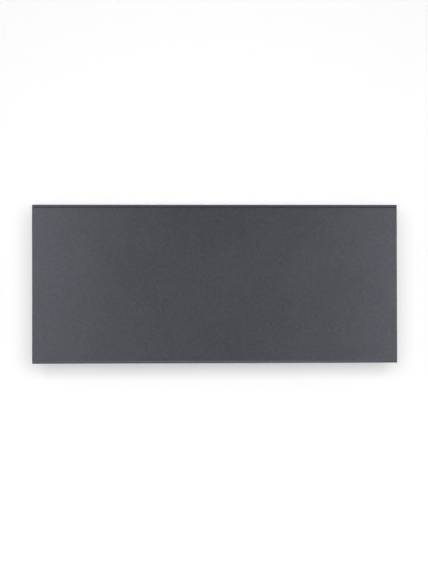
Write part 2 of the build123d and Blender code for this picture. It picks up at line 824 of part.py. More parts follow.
with BuildPart() as board_terminals:
    with BuildSketch(wall_plane(y_board_face)):
        with Locations((x_bay, z_terminal_low)):
            Rectangle(terminal_length, terminal_height, align=(Align.CENTER, Align.MIN))
    extrude(amount=terminal_depth)
    with BuildSketch(Plane.XY.offset(z_terminal_low)):
        with Locations(*[(x, y_terminal) for x in terminal_xs]):
            small_round(wire_radius + wire_fit)
    extrude(amount=terminal_height / 2, mode=Mode.SUBTRACT)
board_terminals.part.label = "board_terminals"
export_step(board_terminals.part, "parts/board_terminals.step")

# Mains terminal block on the back of the casing
block_length, block_width, block_thickness = block_size
z_block = z_floor + block_height
z_block_top = z_block + block_width / 2
y_block = y_case_inner - block_thickness / 2
block_xs = [x_bay + step * block_pitch for step in (-1, 0, 1)]
block_ways = [(x, z_block) for x in block_xs]

with BuildPart() as terminal_block:
    with BuildSketch(wall_plane(y_case_inner)):
        with Locations((x_bay, z_block)):
            Rectangle(block_length, block_width)
    extrude(amount=block_thickness)
    with BuildSketch(Plane.XY.offset(z_block - block_width / 2)):
        with Locations(*[(x, y_block) for x in block_xs]):
            small_round(block_bore)
    extrude(amount=block_width, mode=Mode.SUBTRACT)
    with BuildSketch(wall_plane(y_block)):
        with Locations(*block_ways):
            small_round(block_well)
    extrude(amount=block_thickness / 2, mode=Mode.SUBTRACT)
terminal_block.part.label = "terminal_block"
export_step(terminal_block.part, "parts/terminal_block.step")

with BuildPart() as terminal_screws:
    with BuildSketch(wall_plane(y_block - wire_radius - wire_fit)):
        with Locations(*block_ways):
            small_round(block_well - screw_fit)
    extrude(amount=screw_head)
terminal_screws.part.label = "terminal_screws"
export_step(terminal_screws.part, "parts/terminal_screws.step")

# Cable gland in the casing floor
with BuildPart() as cable_gland:
    with BuildSketch(Plane.XY.offset(z_floor - gland_flange)):
        with Locations((x_gland, y_gland)):
            small_round(gland_flange_radius)
    extrude(amount=gland_flange)
    with BuildSketch(Plane.XY.offset(z_floor)):
        with Locations((x_gland, y_gland)):
            small_round(gland_radius)
    extrude(amount=gland_length - gland_flange)
    with BuildSketch(Plane.XY.offset(z_floor - gland_flange)):
        with Locations((x_gland, y_gland)):
            Circle(gland_bore)
    extrude(amount=gland_length, mode=Mode.SUBTRACT)
cable_gland.part.label = "cable_gland"
export_step(cable_gland.part, "parts/cable_gland.step")

# Earth screw and its tag on the back of the casing
x_earth = x_partition + partition_flange + 2 * screw_head_radius
z_earth = z_floor + earth_height
tag_width, tag_height, tag_sheet = earth_tag_size

with BuildPart() as earth_tag:
    with BuildSketch(wall_plane(y_case_inner)):
        with Locations((x_earth, z_earth - tag_width / 2)):
            Rectangle(tag_width, tag_height, align=(Align.CENTER, Align.MIN))
        with Locations((x_earth, z_earth)):
            small_bore(screw_radius + screw_fit)
    extrude(amount=tag_sheet)
earth_tag.part.label = "earth_tag"
export_step(earth_tag.part, "parts/earth_tag.step")

with BuildPart() as earth_screw:
    add(hex_screws(from_room([(x_earth, z_earth)], y_case_inner - tag_sheet), tag_sheet))
earth_screw.part.label = "earth_screw"
export_step(earth_screw.part, "parts/earth_screw.step")

# Room sensor in its holder, over the bay's own inlet slots
holder_width, holder_depth, holder_height = sensor_holder_size
z_sensor = z_stand + holder_height - 2 * sensor_radius
y_sensor_back = y_case_inner - holder_depth / 2
y_sensor_front = y_sensor_back - sensor_length

with BuildPart() as sensor_holder:
    with BuildSketch(wall_plane(y_case_inner)):
        with Locations((x_sensor, z_stand)):
            Rectangle(holder_width, holder_height, align=(Align.CENTER, Align.MIN))
        with Locations((x_sensor, z_sensor)):
            small_bore(sensor_radius + bush_fit)
    extrude(amount=holder_depth)
sensor_holder.part.label = "sensor_holder"
export_step(sensor_holder.part, "parts/sensor_holder.step")

with BuildPart() as room_sensor:
    with BuildSketch(wall_plane(y_sensor_back)):
        with Locations((x_sensor, z_sensor)):
            small_round(sensor_radius)
    extrude(amount=sensor_length)
room_sensor.part.label = "room_sensor"
export_step(room_sensor.part, "parts/room_sensor.step")

# Mains switch: a rocker on pins in a housing snapped into the right end plate
x_bezel = x_end + bezel_sheet
inner_width = switch_width - 2 * switch_wall
inner_length = switch_length - 2 * switch_wall
rocker_width = inner_width - 2 * rocker_fit
rocker_radius = inner_length / 2 - rocker_fit
corner_out = rocker_radius * sin(radians(rocker_corner))
corner_along = rocker_radius * cos(radians(rocker_corner))
face_middle = corner_out - corner_along * tan(radians(rocker_tilt))
heel_in = rocker_radius * sin(radians(-rocker_corner / 2))
heel_along = rocker_radius * cos(radians(-rocker_corner / 2))
x_rocker_pin = x_bezel + rocker_proud - face_middle * cos(radians(rocker_tilt))
cavity_depth = x_bezel - x_rocker_pin - 3 * heel_in

with BuildPart() as rocker_housing:
    with BuildSketch(Plane.YZ.offset(x_end)):
        with Locations((y_switch, z_switch)):
            Rectangle(switch_width + 2 * bezel_rim, switch_length + 2 * bezel_rim)
    extrude(amount=bezel_sheet)
    chamfer(rocker_housing.faces().sort_by(Axis.X)[-1].edges(), bezel_sheet / 3)
    with BuildSketch(Plane.YZ.offset(x_end)):
        with Locations((y_switch, z_switch)):
            Rectangle(switch_width, switch_length)
    extrude(amount=-switch_depth)
    with BuildSketch(Plane.YZ.offset(x_bezel)):
        with Locations((y_switch, z_switch)):
            Rectangle(inner_width, inner_length)
    extrude(amount=-cavity_depth, mode=Mode.SUBTRACT)
    with BuildSketch(Plane.XZ.offset(-y_switch)):
        with Locations((x_rocker_pin, z_switch)):
            small_round(rocker_pin_radius + bush_fit)
    extrude(amount=inner_width / 2 + rocker_pin, both=True, mode=Mode.SUBTRACT)
rocker_housing.part.label = "rocker_housing"
export_step(rocker_housing.part, "parts/rocker_housing.step")

rocker_plane = Plane(
    origin=(x_rocker_pin, y_switch, z_switch),
    x_dir=(cos(radians(rocker_tilt)), 0, sin(radians(rocker_tilt))),
    z_dir=(0, -1, 0),
)

with BuildPart() as rocker:
    with BuildSketch(rocker_plane):
        with BuildLine():
            Polyline((corner_out, corner_along), (face_middle, 0), (corner_out, -corner_along))
            ThreePointArc((corner_out, -corner_along), (0, -rocker_radius), (heel_in, -heel_along))
            Polyline((heel_in, -heel_along), (2 * heel_in, 0), (heel_in, heel_along))
            ThreePointArc((heel_in, heel_along), (0, rocker_radius), (corner_out, corner_along))
        make_face()
    extrude(amount=rocker_width / 2, both=True)
    with BuildSketch(rocker_plane):
        small_round(rocker_pin_radius)
    extrude(amount=rocker_width / 2 + rocker_pin, both=True)
rocker.part.label = "rocker"
export_step(rocker.part, "parts/rocker.step")

x_switch_back = x_end - switch_depth
blade_y = switch_width / 4
blade_z = switch_length / 4

with BuildPart() as switch_terminals:
    with BuildSketch(Plane.YZ.offset(x_switch_back)):
        with Locations((y_switch, z_switch)):
            with GridLocations(2 * blade_y, 2 * blade_z, 2, 2):
                Rectangle(blade_sheet, blade_width)
    extrude(amount=-blade_length)
switch_terminals.part.label = "switch_terminals"
export_step(switch_terminals.part, "parts/switch_terminals.step")

# Control unit under the grille: fascia, window, buttons, board and housing
z_fascia_top = z_top - fascia_sink
x_window = x_control + window_offset
button_xs = [x_control + button_offset + step * button_pitch for step in (-1, 0, 1)]
button_places = [(x, y_control) for x in button_xs]
z_collar_top = z_fascia_under - button_rest_gap
z_stem_end = z_collar_top - button_collar_sheet - stem_length
z_tact_top = z_stem_end - plunger_height
z_control_board = z_tact_top - tact_height
z_board_under = z_control_board - board_sheet
z_housing = z_fascia_under - housing_height
housing_x = fascia_length + 2 * fascia_flange
housing_y = fascia_depth + 2 * fascia_flange
inner_x = housing_x - 2 * housing_wall
inner_y = housing_y - 2 * housing_wall

with BuildPart() as control_fascia:
    with BuildSketch(Plane.XY.offset(z_fascia_under)):
        with Locations((x_control, y_control)):
            Rectangle(housing_x, housing_y)
    extrude(amount=fascia_sheet)
    with BuildSketch(Plane.XY.offset(z_fascia_under)):
        with Locations((x_control, y_control)):
            RectangleRounded(fascia_length, fascia_depth, fascia_corner - fascia_gap)
    extrude(amount=z_fascia_top - z_fascia_under)
    with BuildSketch(Plane.XY.offset(z_fascia_top)):
        with Locations((x_control + button_offset, y_control)):
            Rectangle(2 * button_pitch + button_size + 2 * pocket_margin, button_size + 2 * pocket_margin)
    extrude(amount=-pocket_depth, mode=Mode.SUBTRACT)
    with BuildSketch(Plane.XY.offset(z_fascia_under)):
        with Locations(*button_places):
            Rectangle(button_size + 2 * button_fit, button_size + 2 * button_fit)
        with Locations((x_window, y_control)):
            Rectangle(window_length + 2 * window_fit, window_depth + 2 * window_fit)
    extrude(amount=z_fascia_top - z_fascia_under, mode=Mode.SUBTRACT)
control_fascia.part.label = "control_fascia"
export_step(control_fascia.part, "parts/control_fascia.step")

with BuildPart() as display_window:
    with BuildSketch(Plane.XY.offset(z_fascia_under)):
        with Locations((x_window, y_control)):
            Rectangle(window_length, window_depth)
    extrude(amount=z_fascia_top - z_fascia_under)
    with BuildSketch(Plane.XY.offset(z_fascia_under)):
        with Locations((x_window, y_control)):
            Rectangle(window_length + 2 * window_collar, window_depth + 2 * window_collar)
    extrude(amount=-window_collar_sheet)
display_window.part.label = "display_window"
export_step(display_window.part, "parts/display_window.step")


def push_button(place):
    """Cap, captive collar and stem of one button."""
    with BuildPart() as button:
        with BuildSketch(Plane.XY.offset(z_collar_top)):
            with Locations(place):
                Rectangle(button_size, button_size)
        extrude(amount=z_fascia_top - z_collar_top)
        chamfer(button.faces().sort_by(Axis.Z)[-1].edges(), pocket_depth / 2)
        with BuildSketch(Plane.XY.offset(z_collar_top)):
            with Locations(place):
                Rectangle(button_size + 2 * button_collar, button_size + 2 * button_collar)
        extrude(amount=-button_collar_sheet)
        with BuildSketch(Plane.XY.offset(z_collar_top - button_collar_sheet)):
            with Locations(place):
                small_round(stem_radius)
        extrude(amount=-stem_length)
    return button.part


def switch_plunger(place):
    """Plunger of the tactile switch below one button, which moves with it."""
    with BuildPart() as plunger:
        with BuildSketch(Plane.XY.offset(z_tact_top - plunger_depth)):
            with Locations(place):
                small_round(plunger_radius)
        extrude(amount=plunger_depth + plunger_height)
    return plunger.part


for name, place in zip(("minus", "ok", "plus"), button_places):
    button_part = push_button(place)
    button_part.label = f"button_{name}"
    export_step(button_part, f"parts/button_{name}.step")
    plunger_part = switch_plunger(place)
    plunger_part.label = f"plunger_{name}"
    export_step(plunger_part, f"parts/plunger_{name}.step")

with BuildPart() as tactile_switches:
    with BuildSketch(Plane.XY.offset(z_control_board)):
        with Locations(*button_places):
            Rectangle(tact_size, tact_size)
    extrude(amount=tact_height)
    with BuildSketch(Plane.XY.offset(z_tact_top)):
        with Locations(*button_places):
            small_round(plunger_radius + plunger_fit)
    extrude(amount=-(plunger_depth + button_travel + button_rest_gap), mode=Mode.SUBTRACT)
tactile_switches.part.label = "tactile_switches"
export_step(tactile_switches.part, "parts/tactile_switches.step")

with BuildPart() as display_module:
    with BuildSketch(Plane.XY.offset(z_control_board)):
        with Locations((x_window, y_control)):
            Rectangle(window_length, window_depth)
    extrude(amount=z_fascia_under - window_collar_sheet - display_gap - z_control_board)
display_module.part.label = "display_module"
export_step(display_module.part, "parts/display_module.step")

with BuildPart() as control_board:
    with BuildSketch(Plane.XY.offset(z_control_board)):
        with Locations((x_control, y_control)):
            Rectangle(inner_x - 2 * control_board_gap, inner_y - 2 * control_board_gap)
    extrude(amount=-board_sheet)
control_board.part.label = "control_board"
export_step(control_board.part, "parts/control_board.step")

wifi_length, wifi_width, wifi_height = wifi_size

with BuildPart() as wifi_module:
    with BuildSketch(Plane.XY.offset(z_board_under)):
        with Locations((x_window, y_control)):
            Rectangle(wifi_length, wifi_width)
    extrude(amount=-wifi_height)
wifi_module.part.label = "wifi_module"
export_step(wifi_module.part, "parts/wifi_module.step")

boss_length = y_case_inner - y_control - housing_y / 2

with BuildPart() as control_housing:
    with BuildSketch(Plane.XY.offset(z_housing)):
        with Locations((x_control, y_control)):
            Rectangle(housing_x, housing_y)
    extrude(amount=housing_height)
    with BuildSketch(Plane.XY.offset(z_housing + housing_wall)):
        with Locations((x_control, y_control)):
            Rectangle(inner_x, inner_y)
    extrude(amount=housing_height, mode=Mode.SUBTRACT)
    with BuildSketch(Plane.XY.offset(z_housing)):
        with Locations((x_control, y_control)):
            with GridLocations(inner_x - post_size, inner_y - post_size, 2, 2):
                Rectangle(post_size, post_size)
    extrude(amount=z_board_under - z_housing)
    with BuildSketch(wall_plane(y_case_inner)):
        with Locations(*boss_places):
            Rectangle(boss_size, boss_size)
    extrude(amount=boss_length)
    with BuildSketch(wall_plane(y_case_inner)):
        with Locations(*boss_places):
            small_round(screw_radius + screw_fit)
    extrude(amount=boss_length, mode=Mode.SUBTRACT)
    with BuildSketch(Plane.XY.offset(z_housing)):
        with Locations((x_control, y_control)):
            Rectangle(ribbon_width + 2 * ribbon_slot, ribbon_sheet + 2 * ribbon_slot)
    extrude(amount=housing_wall, mode=Mode.SUBTRACT)
control_housing.part.label = "control_housing"
export_step(control_housing.part, "parts/control_housing.step")

with BuildPart() as control_screws:
    add(hex_screws(from_behind(boss_places, y_case_back), boss_screw))
control_screws.part.label = "control_screws"
export_step(control_screws.part, "parts/control_screws.step")


# Wires: straight runs joined by arcs
def round_wire(*points):
    """Insulated wire along a route, drawn four-sided to keep its facets few."""
    with BuildPart() as lead:
        with BuildLine() as route:
            FilletPolyline(*points, radius=wire_bend)
        with BuildSketch(Plane(origin=route.line @ 0, z_dir=route.line % 0)):
            RegularPolygon(wire_radius, 4)
        sweep(path=route.line)
    return lead.part


def flat_lead(x, lead_width, lead_sheet, *points):
    """Flat lead whose route lies in the plane across the heater at that x."""
    with BuildPart() as lead:
        with BuildSketch(Plane.YZ.offset(x)):
            with BuildLine():
                FilletPolyline(*points, radius=ribbon_bend)
            trace(line_width=lead_sheet)
        extrude(amount=lead_width / 2, both=True)
    return lead.part


x_blade_end = x_switch_back - blade_length
y_live = y_switch + blade_y
y_neutral = y_switch - blade_y
z_supply = z_switch - blade_z
z_switched = z_switch + blade_z

with BuildPart() as supply_wires:
    for x_way, y_blade in ((block_xs[1], y_live), (block_xs[2], y_neutral)):
        add(
            round_wire(
                (x_way, y_block, z_block),
                (x_way, y_block, z_block_top + wire_bend),
                (x_way, y_blade, z_supply),
                (x_blade_end, y_blade, z_supply),
            )
        )
supply_wires.part.label = "supply_wires"
export_step(supply_wires.part, "parts/supply_wires.step")

with BuildPart() as switched_wires:
    for x_way, y_blade in ((terminal_xs[3], y_live), (terminal_xs[2], y_neutral)):
        add(
            round_wire(
                (x_blade_end, y_blade, z_switched),
                (x_way, y_blade, z_switched),
                (x_way, y_terminal, z_terminal_low - wire_bend),
                (x_way, y_terminal, z_wire_end),
            )
        )
switched_wires.part.label = "switched_wires"
export_step(switched_wires.part, "parts/switched_wires.step")

x_pin_end = core_right + pin_length
x_cutout_end = x_partition + cutout_depth + blade_length
y_cutout_blade, z_cutout_blade = cutout_blades[0]

with BuildPart() as element_wires:
    for x_from, x_way, y_from, z_from in (
        (x_pin_end, terminal_xs[1], y_element, z_element - pin_offset),
        (x_cutout_end, terminal_xs[0], y_cutout_blade, z_cutout_blade),
    ):
        add(
            round_wire(
                (x_from, y_from, z_from),
                (x_way, y_from, z_from),
                (x_way, y_terminal, z_terminal_low - wire_bend),
                (x_way, y_terminal, z_wire_end),
            )
        )
    add(
        round_wire(
            (x_pin_end, y_element, z_element + pin_offset),
            (x_pin_end + 2 * wire_bend, y_element, z_element + pin_offset),
            (x_pin_end + 2 * wire_bend, cutout_blades[1][0], z_cutout),
            (x_cutout_end, cutout_blades[1][0], z_cutout),
        )
    )
element_wires.part.label = "element_wires"
export_step(element_wires.part, "parts/element_wires.step")

y_tag_wire = y_case_inner - tag_sheet - wire_radius

with BuildPart() as earth_wire:
    add(
        round_wire(
            (block_xs[0], y_block, z_block),
            (block_xs[0], y_block, z_block_top + 2 * wire_bend),
            (x_earth, y_tag_wire, z_block_top + 2 * wire_bend),
            (x_earth, y_tag_wire, z_earth + tag_height / 2),
        )
    )
earth_wire.part.label = "earth_wire"
export_step(earth_wire.part, "parts/earth_wire.step")

z_ribbon_end = board_rise + pillar_z

with BuildPart() as display_cable:
    add(
        flat_lead(
            x_control,
            ribbon_width,
            ribbon_sheet,
            (y_control, z_board_under),
            (y_control, z_ribbon_end),
            (y_board_face, z_ribbon_end),
        )
    )
display_cable.part.label = "display_cable"
export_step(display_cable.part, "parts/display_cable.step")

y_twin = y_case_inner - twin_reach - block_thickness
z_twin_end = board_rise - board_height / 4

with BuildPart() as sensor_wire:
    add(
        flat_lead(
            x_sensor,
            twin_width,
            twin_sheet,
            (y_sensor_front, z_sensor),
            (y_twin, z_sensor),
            (y_twin, z_twin_end),
            (y_board_face, z_twin_end),
        )
    )
sensor_wire.part.label = "sensor_wire"
export_step(sensor_wire.part, "parts/sensor_wire.step")

# Wall bracket: a pressed tray with a window, screw slots, low rails and two hooks
z_bracket_low = z_hook - hook_arm
z_bracket_high = z_latch + bracket_above_latch
z_bracket = (z_bracket_low + z_bracket_high) / 2
bracket_height = z_bracket_high - z_bracket_low
bracket_tray = folded_tray(
    2 * x_bracket, bracket_height, -y_bracket, bracket_sheet, bracket_bend, bracket_bend
)
x_wall_screw = x_bracket - wall_screw_inset
y_tip_low = y_case_inner - notch_gap
y_tip_high = y_tip_low - hook_tip * tan(radians(tilt_limit + tilt_spare))
y_tip_front = y_tip_high - hook_front

with BuildPart() as hook:
    with BuildSketch(Plane.YZ):
        with BuildLine():
            Polyline(
                (y_bracket + bracket_bend, z_hook - hook_arm),
                (y_bracket + bracket_bend, z_hook),
                (y_tip_low, z_hook),
                (y_tip_high, z_hook + hook_tip),
                (y_tip_front, z_hook + hook_tip),
                (y_tip_front, z_hook - hook_arm + hook_front),
                (y_tip_front + hook_front, z_hook - hook_arm),
                close=True,
            )
        make_face()
    extrude(amount=bracket_sheet / 2, both=True)

with BuildPart() as wall_bracket:
    with Locations(Plane(origin=(0, 0, z_bracket), x_dir=(1, 0, 0), z_dir=(0, -1, 0))):
        add(bracket_tray)
    with BuildSketch(wall_plane(-bracket_lip)):
        with Locations((0, z_bracket)):
            Rectangle(2 * x_bracket - 2 * bracket_sheet, bracket_height)
    extrude(amount=wall_gap, mode=Mode.SUBTRACT)
    with BuildSketch(wall_plane(0)):
        with Locations((0, z_bracket)):
            RectangleRounded(2 * (x_bracket - bracket_rail), bracket_height - 2 * bracket_rail, window_radius)
        with GridLocations(2 * x_wall_screw, screw_spacing_z, 2, 2):
            SlotCenterToCenter(wall_slot_length, 2 * wall_slot_radius)
        with Locations((-x_spring, z_latch - spring_reach), (x_spring, z_latch - spring_reach)):
            with Locations((0, -spring_foot / 2)):
                with GridLocations(1, rivet_pitch, 1, 2):
                    small_round(rivet_radius + screw_fit)
    extrude(amount=bracket_sheet, mode=Mode.SUBTRACT)
    with Locations((-x_hook, 0, 0), (x_hook, 0, 0)):
        add(hook.part)
wall_bracket.part.label = "wall_bracket"
export_step(wall_bracket.part, "parts/wall_bracket.step")

# Snap springs: strips riveted to the uprights, whose noses catch in the casing's latch slots
y_foot = -bracket_sheet - spring_sheet / 2
slope = 1 / sqrt(2)
clear_of_edge = (hang_gap + spring_sheet / 2) * slope
y_catch = y_case_inner - clear_of_edge
z_catch = z_latch - clear_of_edge
y_peak = y_catch - nose_front * slope
z_peak = z_catch + nose_front * slope
z_foot_top = z_latch - spring_reach
rivet_zs = [z_foot_top - spring_foot / 2 + step * rivet_pitch for step in (-0.5, 0.5)]


def snap_spring(x):
    """Spring strip: foot on the bracket, arm, catching slope and lead-in."""
    with BuildPart() as spring:
        with BuildSketch(Plane.YZ.offset(x)):
            with BuildLine():
                FilletPolyline(
                    (y_foot, z_foot_top - spring_foot),
                    (y_foot, z_foot_top),
                    (y_catch + nose_back * slope, z_catch - nose_back * slope),
                    (y_peak, z_peak),
                    (y_peak - nose_lead, z_peak - nose_lead),
                    radius=[spring_bend, spring_bend, spring_sheet],
                )
            trace(line_width=spring_sheet)
        extrude(amount=spring_width / 2, both=True)
        with BuildSketch(wall_plane(-bracket_sheet)):
            with Locations(*[(x, z) for z in rivet_zs]):
                small_round(rivet_radius + screw_fit)
        extrude(amount=spring_sheet, mode=Mode.SUBTRACT)
    return spring.part


with BuildPart() as snap_spring_left:
    add(snap_spring(-x_spring))
snap_spring_left.part.label = "snap_spring_left"
export_step(snap_spring_left.part, "parts/snap_spring_left.step")

with BuildPart() as snap_spring_right:
    add(snap_spring(x_spring))
snap_spring_right.part.label = "snap_spring_right"
export_step(snap_spring_right.part, "parts/snap_spring_right.step")

with BuildPart() as spring_rivets:
    with BuildSketch(wall_plane(-bracket_sheet - spring_sheet)):
        with Locations(*[(x, z) for x in (-x_spring, x_spring) for z in rivet_zs]):
            small_round(rivet_head_radius)
    extrude(amount=rivet_head)
    with BuildSketch(wall_plane(-bracket_sheet - spring_sheet)):
        with Locations(*[(x, z) for x in (-x_spring, x_spring) for z in rivet_zs]):
            small_round(rivet_radius)
    extrude(amount=-bracket_sheet - spring_sheet)
spring_rivets.part.label = "spring_rivets"
export_step(spring_rivets.part, "parts/spring_rivets.step")
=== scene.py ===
import json
from math import pi, radians

import bmesh
import bpy
import numpy as np
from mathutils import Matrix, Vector

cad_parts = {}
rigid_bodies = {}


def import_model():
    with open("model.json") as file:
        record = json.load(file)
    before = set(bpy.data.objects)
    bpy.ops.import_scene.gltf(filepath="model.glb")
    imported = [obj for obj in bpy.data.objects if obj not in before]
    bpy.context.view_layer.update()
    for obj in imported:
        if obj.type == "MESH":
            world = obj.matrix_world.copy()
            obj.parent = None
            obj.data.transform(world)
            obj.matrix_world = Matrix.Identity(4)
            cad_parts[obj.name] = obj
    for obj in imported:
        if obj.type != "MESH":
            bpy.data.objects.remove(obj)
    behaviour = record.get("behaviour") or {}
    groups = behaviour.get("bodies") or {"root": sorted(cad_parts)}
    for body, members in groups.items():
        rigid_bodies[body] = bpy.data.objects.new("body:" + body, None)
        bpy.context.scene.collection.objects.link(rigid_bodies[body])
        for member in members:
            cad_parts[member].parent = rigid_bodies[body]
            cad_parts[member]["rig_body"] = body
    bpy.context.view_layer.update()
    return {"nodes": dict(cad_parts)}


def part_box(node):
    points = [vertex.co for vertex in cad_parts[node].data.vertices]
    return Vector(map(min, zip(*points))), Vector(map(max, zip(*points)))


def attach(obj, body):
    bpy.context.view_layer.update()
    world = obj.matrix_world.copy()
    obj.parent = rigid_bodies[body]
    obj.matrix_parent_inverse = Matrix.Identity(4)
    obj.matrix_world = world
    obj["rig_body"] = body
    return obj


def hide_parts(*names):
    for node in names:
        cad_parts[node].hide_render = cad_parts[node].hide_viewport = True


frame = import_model()
nodes = frame["nodes"]

# Slim electric panel heater on its wall bracket. Shapes are in millimetres and become metres as pieces.
# X runs to the right seen from the room, Y from the room to the wall, Z up.
MM = 0.001

# Ways for a shape to point: across and along carry its u and v, and their cross product its w
to_wall = {"across": (-1, 0, 0), "along": (0, 0, 1)}
to_front = {"across": (1, 0, 0), "along": (0, 0, 1)}
to_floor = {"across": (1, 0, 0), "along": (0, -1, 0)}
to_ceiling = {"across": (1, 0, 0), "along": (0, 1, 0)}
to_right = {"across": (0, 1, 0), "along": (0, 0, 1)}
to_left = {"across": (0, -1, 0), "along": (0, 0, 1)}


def corners(node):
    """Lowest and highest corner of a CAD node, in millimetres."""
    return [np.array(corner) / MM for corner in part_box(node)]


def seat(node, way):
    """Middle of the side of a CAD node's box from which the way points through the node, to 0.01 mm."""
    low, high = corners(node)
    pointing = np.cross(way["across"], way["along"])
    return np.where(pointing > 0, low, np.where(pointing < 0, high, (low + high) / 2)).round(2)


front_low, front_high = corners("front_panel")
grille_low, grille_high = corners("top_grille")
case_low, case_high = corners("rear_casing")

# Sheets, bends and openings, as in the CAD model
front_sheet = 1.2
front_bend = 2.5
front_bottom_bend = 6.0
front_screw_xs = (-302.5, 302.5)
y_front_screw = seat("front_screws", to_floor)[1]
front_hole_radius = 1.6
countersink_radius = 2.8
grille_sheet = 0.8
grille_bend = 1.6
grille_rim = 163.8
outlet_width = 6.0
outlet_length = 36.0
outlet_corner = 1.6
outlet_pitch = 14.0
outlet_middle = -38.25
outlet_xs = outlet_middle + outlet_pitch * np.arange(-23, 24)
fascia_width = 72.6
fascia_depth = 32.6
fascia_corner = 3.0
case_sheet = 0.8
bracket_sheet = 1.5

# Places of the inner parts
y_case_back = case_high[1]
y_case_inner = y_case_back - case_sheet
x_side_screw = seat("right_end_plate", to_floor)[0]
x_hook = corners("wall_bracket")[1][0] - bracket_sheet / 2
x_control, y_control = seat("control_fascia", to_floor)[:2]
x_bay, y_board_face, z_board = seat("power_board", to_wall)
terminal_xs = x_bay + np.array([-15, -5, 5, 15])
block_xs = x_bay + np.array([-12, 0, 12])

scene = bpy.context.scene
scene.view_settings.view_transform = "Standard"


def colour(red, green, blue):
    """Linear colour of a screen colour given from 0 to 255, with alpha 1."""
    screen = np.array([red, green, blue]) / 255
    linear = np.where(screen <= 0.04045, screen / 12.92, ((screen + 0.055) / 1.055) ** 2.4)
    return (*linear.tolist(), 1.0)


# Shader nodes
def wire(tree, sockets, values):
    """Feeds sockets by name or number: a value that is another node's socket is linked, any other is set."""
    for key, value in values.items():
        if isinstance(value, bpy.types.NodeSocket):
            tree.links.new(value, sockets[key])
        else:
            sockets[key].default_value = value


def place(tree, kind, inputs=None, **settings):
    """Outputs of a new shader node: settings are its own properties, inputs its sockets by name or number."""
    made = tree.nodes.new(kind)
    for key, value in settings.items():
        setattr(made, key, value)
    wire(tree, made.inputs, inputs or {})
    return made.outputs


def calculate(tree, operation, first, second=0.0, third=0.0, clamp=False):
    """Output of a Math node."""
    inputs = {0: first, 1: second, 2: third}
    return place(tree, "ShaderNodeMath", inputs, operation=operation, use_clamp=clamp)[0]


def remap(tree, value, low, high, to_low=0.0, to_high=1.0):
    """Value moved from one range to another, and kept inside it."""
    inputs = {"Value": value, "From Min": low, "From Max": high, "To Min": to_low, "To Max": to_high}
    return place(tree, "ShaderNodeMapRange", inputs)["Result"]


def tinted(tree, factor, first, second):
    """Colour between two colours by a factor: the Mix node's inputs 6 and 7, and its output 2."""
    return place(tree, "ShaderNodeMix", {0: factor, 6: first, 7: second}, data_type="RGBA")[2]


def shaded(tree, base, gain):
    """Colour times a gain."""
    return place(tree, "ShaderNodeVectorMath", {0: base, "Scale": gain}, operation="SCALE")["Vector"]


def noise(tree, spot, scale, detail, distortion=0.0):
    """Noise at a place, about 0.3 to 0.7."""
    inputs = {"Vector": spot, "Scale": scale, "Detail": detail, "Distortion": distortion}
    return place(tree, "ShaderNodeTexNoise", inputs)["Fac"]


def cells(tree, spot, scale, randomness=1.0, **settings):
    """Outputs of a cell pattern at a place."""
    inputs = {"Vector": spot, "Scale": scale, "Randomness": randomness}
    return place(tree, "ShaderNodeTexVoronoi", inputs, **settings)


def object_spot(tree):
    """Place in the object's own coordinates, in metres."""
    return place(tree, "ShaderNodeTexCoord")["Object"]


grey = (0.5, 0.5, 0.5, 1.0)


def new_group(name, inputs, outputs=("Roughness", "Height")):
    """Node group with named inputs, each a number, a vector of 3 or a colour of 4, and with number outputs.
    A group that is given a colour gives one too."""
    group = bpy.data.node_groups.new(name, "ShaderNodeTree")
    new_socket = group.interface.new_socket
    for socket_name, value in inputs.items():
        kind = {1: "Float", 3: "Vector", 4: "Color"}[np.size(value)]
        new_socket(socket_name, in_out="INPUT", socket_type="NodeSocket" + kind).default_value = value
    if "Colour" in inputs:
        new_socket("Colour", in_out="OUTPUT", socket_type="NodeSocketColor")
    for socket_name in outputs:
        new_socket(socket_name, in_out="OUTPUT", socket_type="NodeSocketFloat")
    return group, place(group, "NodeGroupInput"), group.nodes.new("NodeGroupOutput").inputs


def powder_group():
    """Powder coat: grains, an orange peel and slow patches shade it, and grains and peel give its height."""
    inputs = {"Colour": grey, "Grain size": 0.0012, "Shade": 0.06, "Roughness": 0.5}
    group, given, result = new_group("powder_coat_grain", inputs)
    spot = object_spot(group)
    fine = calculate(group, "DIVIDE", 1.0, given["Grain size"])
    grain = noise(group, spot, fine, 3.0)
    peel = noise(group, spot, calculate(group, "MULTIPLY", fine, 0.35), 2.0)
    slow = noise(group, spot, calculate(group, "MULTIPLY", fine, 0.012), 2.0)
    peel_shade = remap(group, peel, 0.3, 0.7, -1.0, 1.0)
    shade = calculate(group, "ADD", remap(group, grain, 0.3, 0.7, -1.0, 1.0), peel_shade)
    shade = calculate(group, "ADD", shade, remap(group, slow, 0.3, 0.7, -0.6, 0.6))
    gain = calculate(group, "MULTIPLY_ADD", shade, given["Shade"], 1.0)
    wire(group, result, {
        "Colour": shaded(group, given["Colour"], gain),
        "Roughness": calculate(group, "MULTIPLY_ADD", peel_shade, 0.02, given["Roughness"]),
        "Height": calculate(group, "MULTIPLY_ADD", peel, 2.0, grain),
    })
    return group


